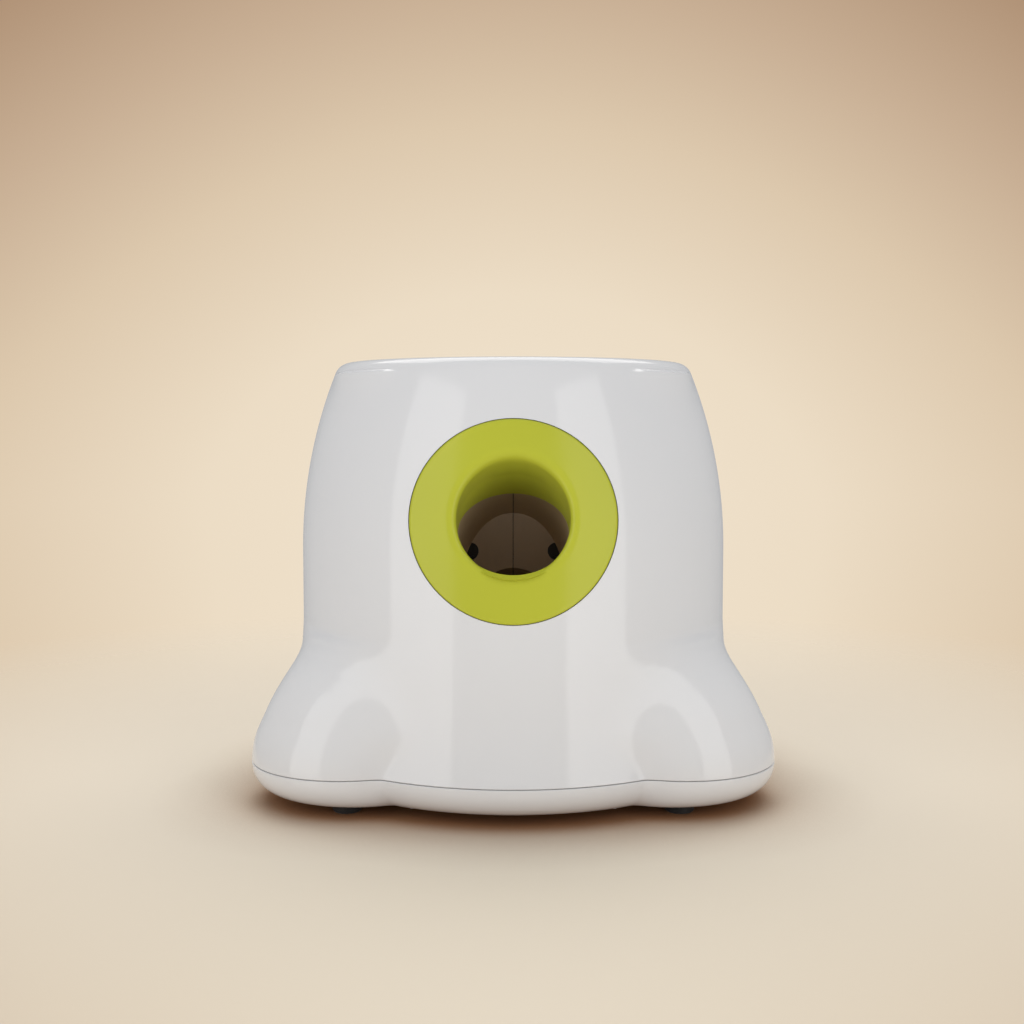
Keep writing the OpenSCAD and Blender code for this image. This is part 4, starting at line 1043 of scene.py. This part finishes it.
@dataclass
class MouthRing:
    """The yellow-green ring round the mouth, with the rounded throat and the slanted tube behind it."""

    finishes: Finishes
    sectors: int = 288
    flange_r: float = 52.4
    flange_z: float = 153.5
    flange_t: float = 2.4
    wall_deep: float = 3.0
    back_inset: float = 1.5
    flatness: float = 0.972
    drop: float = 2.2
    level_a: float = 8.0
    proud: float = 0.6
    edge: float = 1.1
    throat_r: float = 28.5
    tube_r: float = 31.0
    fillet: float = 5.1
    cut_a: float = 23.0
    cut_lean: float = math.radians(35.0)
    disc_r: Span = (47.9, 57.0)
    disc_y: float = -98.0
    ear_away: float = 45.0
    ear_r: float = 8.0
    ear_inset: float = 0.1
    screw_r: float = 1.7

    def meeting(self, r: float, offset: float) -> Array:
        """Distance along the launch axis at which a circle's points pass the drum's surface plus an offset.

        Args:
            r: Radius of the circle round the launch axis.
            offset: Distance outside the drum's surface.

        Returns:
            One distance for each direction, found by halving an interval.
        """
        low, high = np.full(self.sectors, -45.0), np.full(self.sectors, 45.0)
        for _ in range(40):
            middle = (low + high) / 2
            p = self.at(middle, r)
            inside = np.hypot(p[:, 0], p[:, 1]) < BODY.barrel(p[:, 2]) + offset
            high = np.where(inside, middle, high)
            low = np.where(inside, low, middle)
        return (low + high) / 2

    def at(self, along: Array, r: float) -> Array:
        """Circle round the launch axis, which hangs a little below the axis at the mouth."""
        points = AXIS.point(along, r, round_angles(self.sectors))
        points[:, 2] -= self.drop * np.clip((self.cut_a - self.level_a - along) / self.cut_a, 0, 1)
        return points

    def on_drum(self, xz: Array, offset: float) -> Array:
        """Points given in X and Z, set on the front of the drum's surface plus an offset."""
        y = -np.sqrt((BODY.barrel(xz[:, 1]) + offset) ** 2 - xz[:, 0] ** 2)
        return np.stack([xz[:, 0], y, xz[:, 1]], axis=-1)

    def circle(self, r: float) -> Array:
        """The flange's outline in X and Z: a circle, a little flattened."""
        turn = round_angles(self.sectors)
        return np.stack([r * np.cos(turn), self.flange_z + self.flatness * r * np.sin(turn)], axis=-1)

    def cut(self, r: float) -> Array:
        """The tube's askew end: distance along the axis grows with height above it."""
        return self.cut_a + r * np.sin(round_angles(self.sectors)) * math.tan(self.cut_lean)

    def rings(self) -> Array:
        """Rings of the loop: flange wall, rounded edge, flange, throat's rounding, tube, and outside."""
        rows = [self.on_drum(self.circle(self.flange_r), -self.wall_deep)]
        for t in np.linspace(0, math.pi / 2, 9):
            r = self.flange_r - self.edge * (1 - math.cos(t))
            rows.append(self.on_drum(self.circle(r), self.proud - self.edge * (1 - math.sin(t))))
        lip_r = self.throat_r + self.fillet
        lip = self.at(self.meeting(lip_r, self.proud), lip_r)
        outer = self.circle(self.flange_r - self.edge)
        for s in np.linspace(0, 1, 26)[1:]:
            rows.append(self.on_drum(outer * (1 - s) + lip[:, [0, 2]] * s, self.proud))
        start = rows[-1]
        corner_a = self.meeting(self.throat_r, self.proud)
        corner = self.at(corner_a, self.throat_r)
        tube_a = corner_a + self.fillet
        deep = self.at(tube_a, self.throat_r)
        for t in np.linspace(0, 1, 15)[1:]:
            rows.append((1 - t) ** 2 * start + 2 * t * (1 - t) * corner + t**2 * deep)
        for s in np.linspace(0, 1, 22)[1:]:
            rows.append(self.at(tube_a * (1 - s) + self.cut(self.throat_r) * s, self.throat_r))
        back_a = self.meeting(self.tube_r, -self.flange_t)
        for s in np.linspace(0, 1, 8):
            rows.append(self.at(self.cut(self.tube_r) * (1 - s) + back_a * s, self.tube_r))
        back = rows[-1][:, [0, 2]]
        outer = self.circle(self.flange_r - self.back_inset)
        for s in np.linspace(0, 1, 8)[1:]:
            rows.append(self.on_drum(back * (1 - s) + outer * s, -self.flange_t))
        return np.stack(rows)

    def disc(self) -> bpy.types.Object:
        """Makes the disc with four screwed ears that stands behind the ring."""
        (inner, outer), t = self.disc_r, self.flange_t
        profile = rounded([(inner, 0, 0.2), (outer, 0, 0.4), (outer, t, 0.4), (inner, t, 0.2)])
        round_disc = aimed(lathe(profile, 192, True), (0, self.disc_y, self.flange_z), BACK)
        disc = add_mesh("mouth_ring_disc", round_disc)
        away = (-self.ear_away, self.ear_away)
        ears = [(x, self.flange_z + z) for x in away for z in away]
        ear_y, ear_t = self.disc_y + self.ear_inset, t - 2 * self.ear_inset
        carve(disc, merged([rod((x, ear_y, z), BACK, self.ear_r, ear_t) for x, z in ears]), Carve.JOIN)
        screw_y = self.disc_y - 1
        carve(disc, merged([rod((x, screw_y, z), BACK, self.screw_r, 5) for x, z in ears]), Carve.CUT)
        return self.finishes.dress(disc, "ring_plastic", "launcher")

    def build(self) -> None:
        """Makes the ring, and the screwed disc that stands behind it."""
        ring = add_mesh("mouth_ring_skin", ring_stack(self.rings(), True))
        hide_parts("mouth_ring")
        self.finishes.dress(ring, "ring_plastic", "launcher")
        self.disc()


@dataclass
class ControlPanel:
    """The grey disc on the back of the drum, let in flush, round the power button and three lights."""

    finishes: Finishes
    z: float = 178.0
    r: float = 24.0
    proud: float = 0.6
    deep: float = 17.0
    edge: float = 1.0
    flange_y: float = 104.5
    flange_t: float = 2.4
    flange_out: float = 3.5
    pocket_r: float = 20.5
    pocket_y: float = 110.5
    pocket_sides: int = 100
    button_r: float = 9.35
    button_drop: float = 2.0
    light_r: float = 1.65
    light_rise: float = 14.5
    light_gap: float = 7.0

    def build(self) -> bpy.types.Object:
        """Makes the disc with its pocket, its flange and its holes."""
        panel = add_mesh("control_panel", DrumPatch(self.z, self.r, -self.deep, self.proud, self.edge).mesh())
        inside_y, clear, through = 60.0, 30.0, 80.0
        low, high = (-clear, inside_y, self.z - clear), (clear, self.flange_y + 1, self.z + clear)
        carve(panel, block(low, high), Carve.CUT)
        flange = rod((0, self.flange_y, self.z), BACK, self.r + self.flange_out, self.flange_t)
        carve(panel, flange, Carve.JOIN)
        pocket_deep = self.pocket_y - inside_y
        pocket = rod((0, inside_y, self.z), BACK, self.pocket_r, pocket_deep, self.pocket_sides)
        carve(panel, pocket, Carve.CUT)
        holes = [rod((0, inside_y, self.z - self.button_drop), BACK, self.button_r, through)]
        for x in (-self.light_gap, 0.0, self.light_gap):
            holes.append(rod((x, inside_y, self.z + self.light_rise), BACK, self.light_r, through))
        carve(panel, merged(holes), Carve.CUT)
        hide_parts("control_bezel")
        return self.finishes.dress(panel, "grey_plastic", "launcher")


@dataclass
class Spring:
    """The steel launch spring: one round wire in nine turns, closed up at both ends."""

    finishes: Finishes
    start_a: float = 171.25
    end_a: float = 228.75
    coil_r: float = 14.6
    wire_r: float = 1.2
    wire_sides: int = 14
    turns: int = 9
    turn_steps: int = 40
    stroke: float = 36.0

    def build(self) -> bpy.types.Object:
        """Winds the wire as a helix about the launch axis."""
        t = np.linspace(0, 1, self.turns * self.turn_steps + 1)
        along = self.start_a + (self.end_a - self.start_a) * t
        path = AXIS.point(along, self.coil_r, 2 * np.pi * self.turns * t)
        spring = add_mesh("launch_spring_wire", swept(path, self.wire_r, self.wire_sides))
        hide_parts("launch_spring")
        self.finishes.dress(spring, "steel", "launcher")
        end = AXIS.point(np.array(self.end_a + self.wire_r), np.array(0.0), np.array(0.0))
        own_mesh(spring)
        return spring


# Studio.


@dataclass(frozen=True)
class Lamp:
    """A rectangular lamp that faces a point."""

    name: str
    place: Triple
    target: Triple
    size: Span
    power: float
    colour: Colour

    def build(self) -> None:
        """Adds the lamp."""
        data = bpy.data.lights.new(self.name, "AREA")
        data.shape = "RECTANGLE"
        data.size, data.size_y = self.size
        data.energy, data.color = self.power, self.colour
        lamp = bpy.data.objects.new(self.name, data)
        lamp.location = self.place
        x, y, z = np.array(self.target, float) - np.array(self.place, float)
        down = math.acos(-z / math.sqrt(x * x + y * y + z * z))
        lamp.rotation_euler = (down, 0, math.atan2(y, x) - math.pi / 2)
        bpy.context.scene.collection.objects.link(lamp)


@dataclass
class Studio:
    """Pale floor that fades into a warm backdrop, soft lamps, and the camera of the photograph."""

    camera_place: Triple = (-0.0007, -0.775, 0.203)
    pitch: float = math.radians(3.97)
    focal_px: float = 1303.0
    image_px: float = 1024.0
    floor_rings: tuple[float, ...] = (0.001, 0.2, 0.5, 1.0, 2.5)
    # Colour of the painted contact shadow near the part, and the floor's own colour elsewhere.
    painted_shadow: Colour = (0.34, 0.175, 0.09)
    open: Colour = (0.88, 0.785, 0.65)
    # Fog of the floor with distance, for the camera and for reflections.
    floor_fades: Span = (0.2, 0.62)
    mirrored_fades: Span = (0.18, 0.34)
    # Distance from the backdrop's middle, and its colour there.
    backdrop_stops: tuple[tuple[float, Colour], ...] = (
        (0.0, (0.88, 0.77, 0.62)),
        (0.42, (0.84, 0.72, 0.56)),
        (0.75, (0.72, 0.58, 0.42)),
        (1.0, (0.58, 0.43, 0.30)),
        (1.35, (0.38, 0.235, 0.14)),
    )
    room: Colour = (0.93, 0.96, 1.0)
    room_strength: float = 0.42
    lamps: tuple[Lamp, ...] = (
        Lamp("left_box", (-1.24, -1.16, 0.25), (0.0, -0.015, 0.25), (1.05, 2.5), 14.2, (1.0, 0.985, 0.965)),
        Lamp("right_box", (1.12, -1.24, 0.25), (0.0, -0.015, 0.25), (0.95, 2.5), 13.5, (1.0, 0.985, 0.965)),
        Lamp("top_box", (0.0, 0.65, 1.45), (0.0, 0.0, 0.2), (1.8, 1.0), 12.5, (1.0, 0.98, 0.95)),
    )

    def camera(self) -> None:
        """Makes the camera."""
        data = bpy.data.cameras.new("camera")
        data.sensor_width = 36.0
        data.lens = self.focal_px / self.image_px * data.sensor_width
        data.clip_start, data.clip_end = 0.01, 50.0
        camera = bpy.data.objects.new("camera", data)
        camera.location = self.camera_place
        camera.rotation_euler = (math.pi / 2 - self.pitch, 0, 0)
        bpy.context.scene.collection.objects.link(camera)
        bpy.context.scene.camera = camera

    def floor(self) -> None:
        """Makes the floor: a disc whose colour thins out with distance, so that the backdrop takes over."""
        a = round_angles(96)
        rings = np.stack([level_ring(a, r, 0.0) for r in self.floor_rings])
        rows, columns = rings.shape[:2]
        faces = grid_faces(rows, columns, False).tolist() + [list(range(columns))]
        data = bpy.data.meshes.new("floor")
        data.from_pydata(rings.reshape(-1, 3).tolist(), [], faces)
        floor = bpy.data.objects.new("floor", data)
        bpy.context.scene.collection.objects.link(floor)
        data.materials.append(self.floor_material())

    def floor_material(self) -> bpy.types.Material:
        """Pale matt floor with a painted contact shadow, brown where the part is close, and clear far away.
        """
        material = bpy.data.materials.new("pale_floor")
        n = Nodes(material)
        # Painted shadow: ambient occlusion near the part tints the floor's colour towards brown.
        painted_shadow_mask = n.add("ShaderNodeAmbientOcclusion", samples=8)
        painted_shadow_mask.inputs["Distance"].default_value = 0.06
        n.feed(
            Base_Color=n.tints(n.ramp(painted_shadow_mask.outputs["AO"], 0.25, 0.95), self.painted_shadow, self.open),
            Normal=n.bump(n.noise(700.0, 3.0), 0.00005),
        )
        n.set(Roughness=0.85, IOR=1.3, Specular_IOR_Level=0.0)
        away = n.length(n.place)
        glossy = n.add("ShaderNodeLightPath").outputs["Is Glossy Ray"]
        mirrored = n.sum("MULTIPLY", glossy, n.ramp(away, *self.mirrored_fades))
        clear = n.sum("MAXIMUM", n.ramp(away, *self.floor_fades), mirrored)
        through = n.add("ShaderNodeBsdfTransparent").outputs[0]
        n.join(n.mix(clear, n.shader.outputs[0], through), n.tree.nodes["Material Output"].inputs["Surface"])
        return material

    def backdrop(self) -> None:
        """Lights the room softly, and shows the camera a warm backdrop that darkens away from its middle."""
        world = bpy.data.worlds.new("backdrop")
        bpy.context.scene.world = world
        world.use_nodes = True
        world.node_tree.nodes.clear()
        g = Graph(world.node_tree)
        place = g.parts(g.add("ShaderNodeTexCoord").outputs["Generated"])
        up = g.sum("MULTIPLY_ADD", place["Z"], 1 / 0.37, 0.16)
        height = g.sum("MAXIMUM", up, g.sum("MULTIPLY", up, -0.42))
        side = g.sum("MULTIPLY", place["X"], g.sum("MULTIPLY_ADD", height, 0.68, 1.82))
        flat = g.add("ShaderNodeCombineXYZ")
        g.join(side, flat.inputs[0])
        g.join(height, flat.inputs[1])
        ramp = g.add("ShaderNodeValToRGB")
        far = self.backdrop_stops[-1][0]
        first, last = ramp.color_ramp.elements
        first.color, last.color = (*self.backdrop_stops[0][1], 1), (*self.backdrop_stops[-1][1], 1)
        for at, colour in self.backdrop_stops[1:-1]:
            ramp.color_ramp.elements.new(at / far).color = (*colour, 1)
        g.join(g.sum("DIVIDE", g.length(flat.outputs[0]), far), ramp.inputs[0])
        seen, light = g.add("ShaderNodeBackground"), g.add("ShaderNodeBackground")
        g.join(ramp.outputs["Color"], seen.inputs["Color"])
        light.inputs["Color"].default_value = (*self.room, 1.0)
        light.inputs["Strength"].default_value = self.room_strength
        path = g.add("ShaderNodeLightPath").outputs
        shown = g.sum("MAXIMUM", path["Is Camera Ray"], path["Is Transmission Ray"])
        lit = g.mix(shown, light.outputs[0], seen.outputs[0])
        g.join(lit, g.add("ShaderNodeOutputWorld").inputs[0])

    def build(self) -> None:
        """Sets up camera, floor, backdrop and lamps."""
        self.camera()
        self.floor()
        self.backdrop()
        for lamp in self.lamps:
            lamp.build()


def main() -> None:
    """Builds the studio and the launcher's sub-assemblies in order."""
    logging.basicConfig(level=logging.INFO, format="%(name)s %(message)s")
    bpy.context.scene.view_settings.view_transform = "Standard"
    Studio().build()
    finishes = Finishes()
    finishes.dress_nodes()
    Shell(finishes).build()
    Tray(finishes).build()
    Hopper(finishes).build()
    MouthRing(finishes).build()
    ControlPanel(finishes).build()
    Spring(finishes).build()


if __name__ == "__main__":
    main()
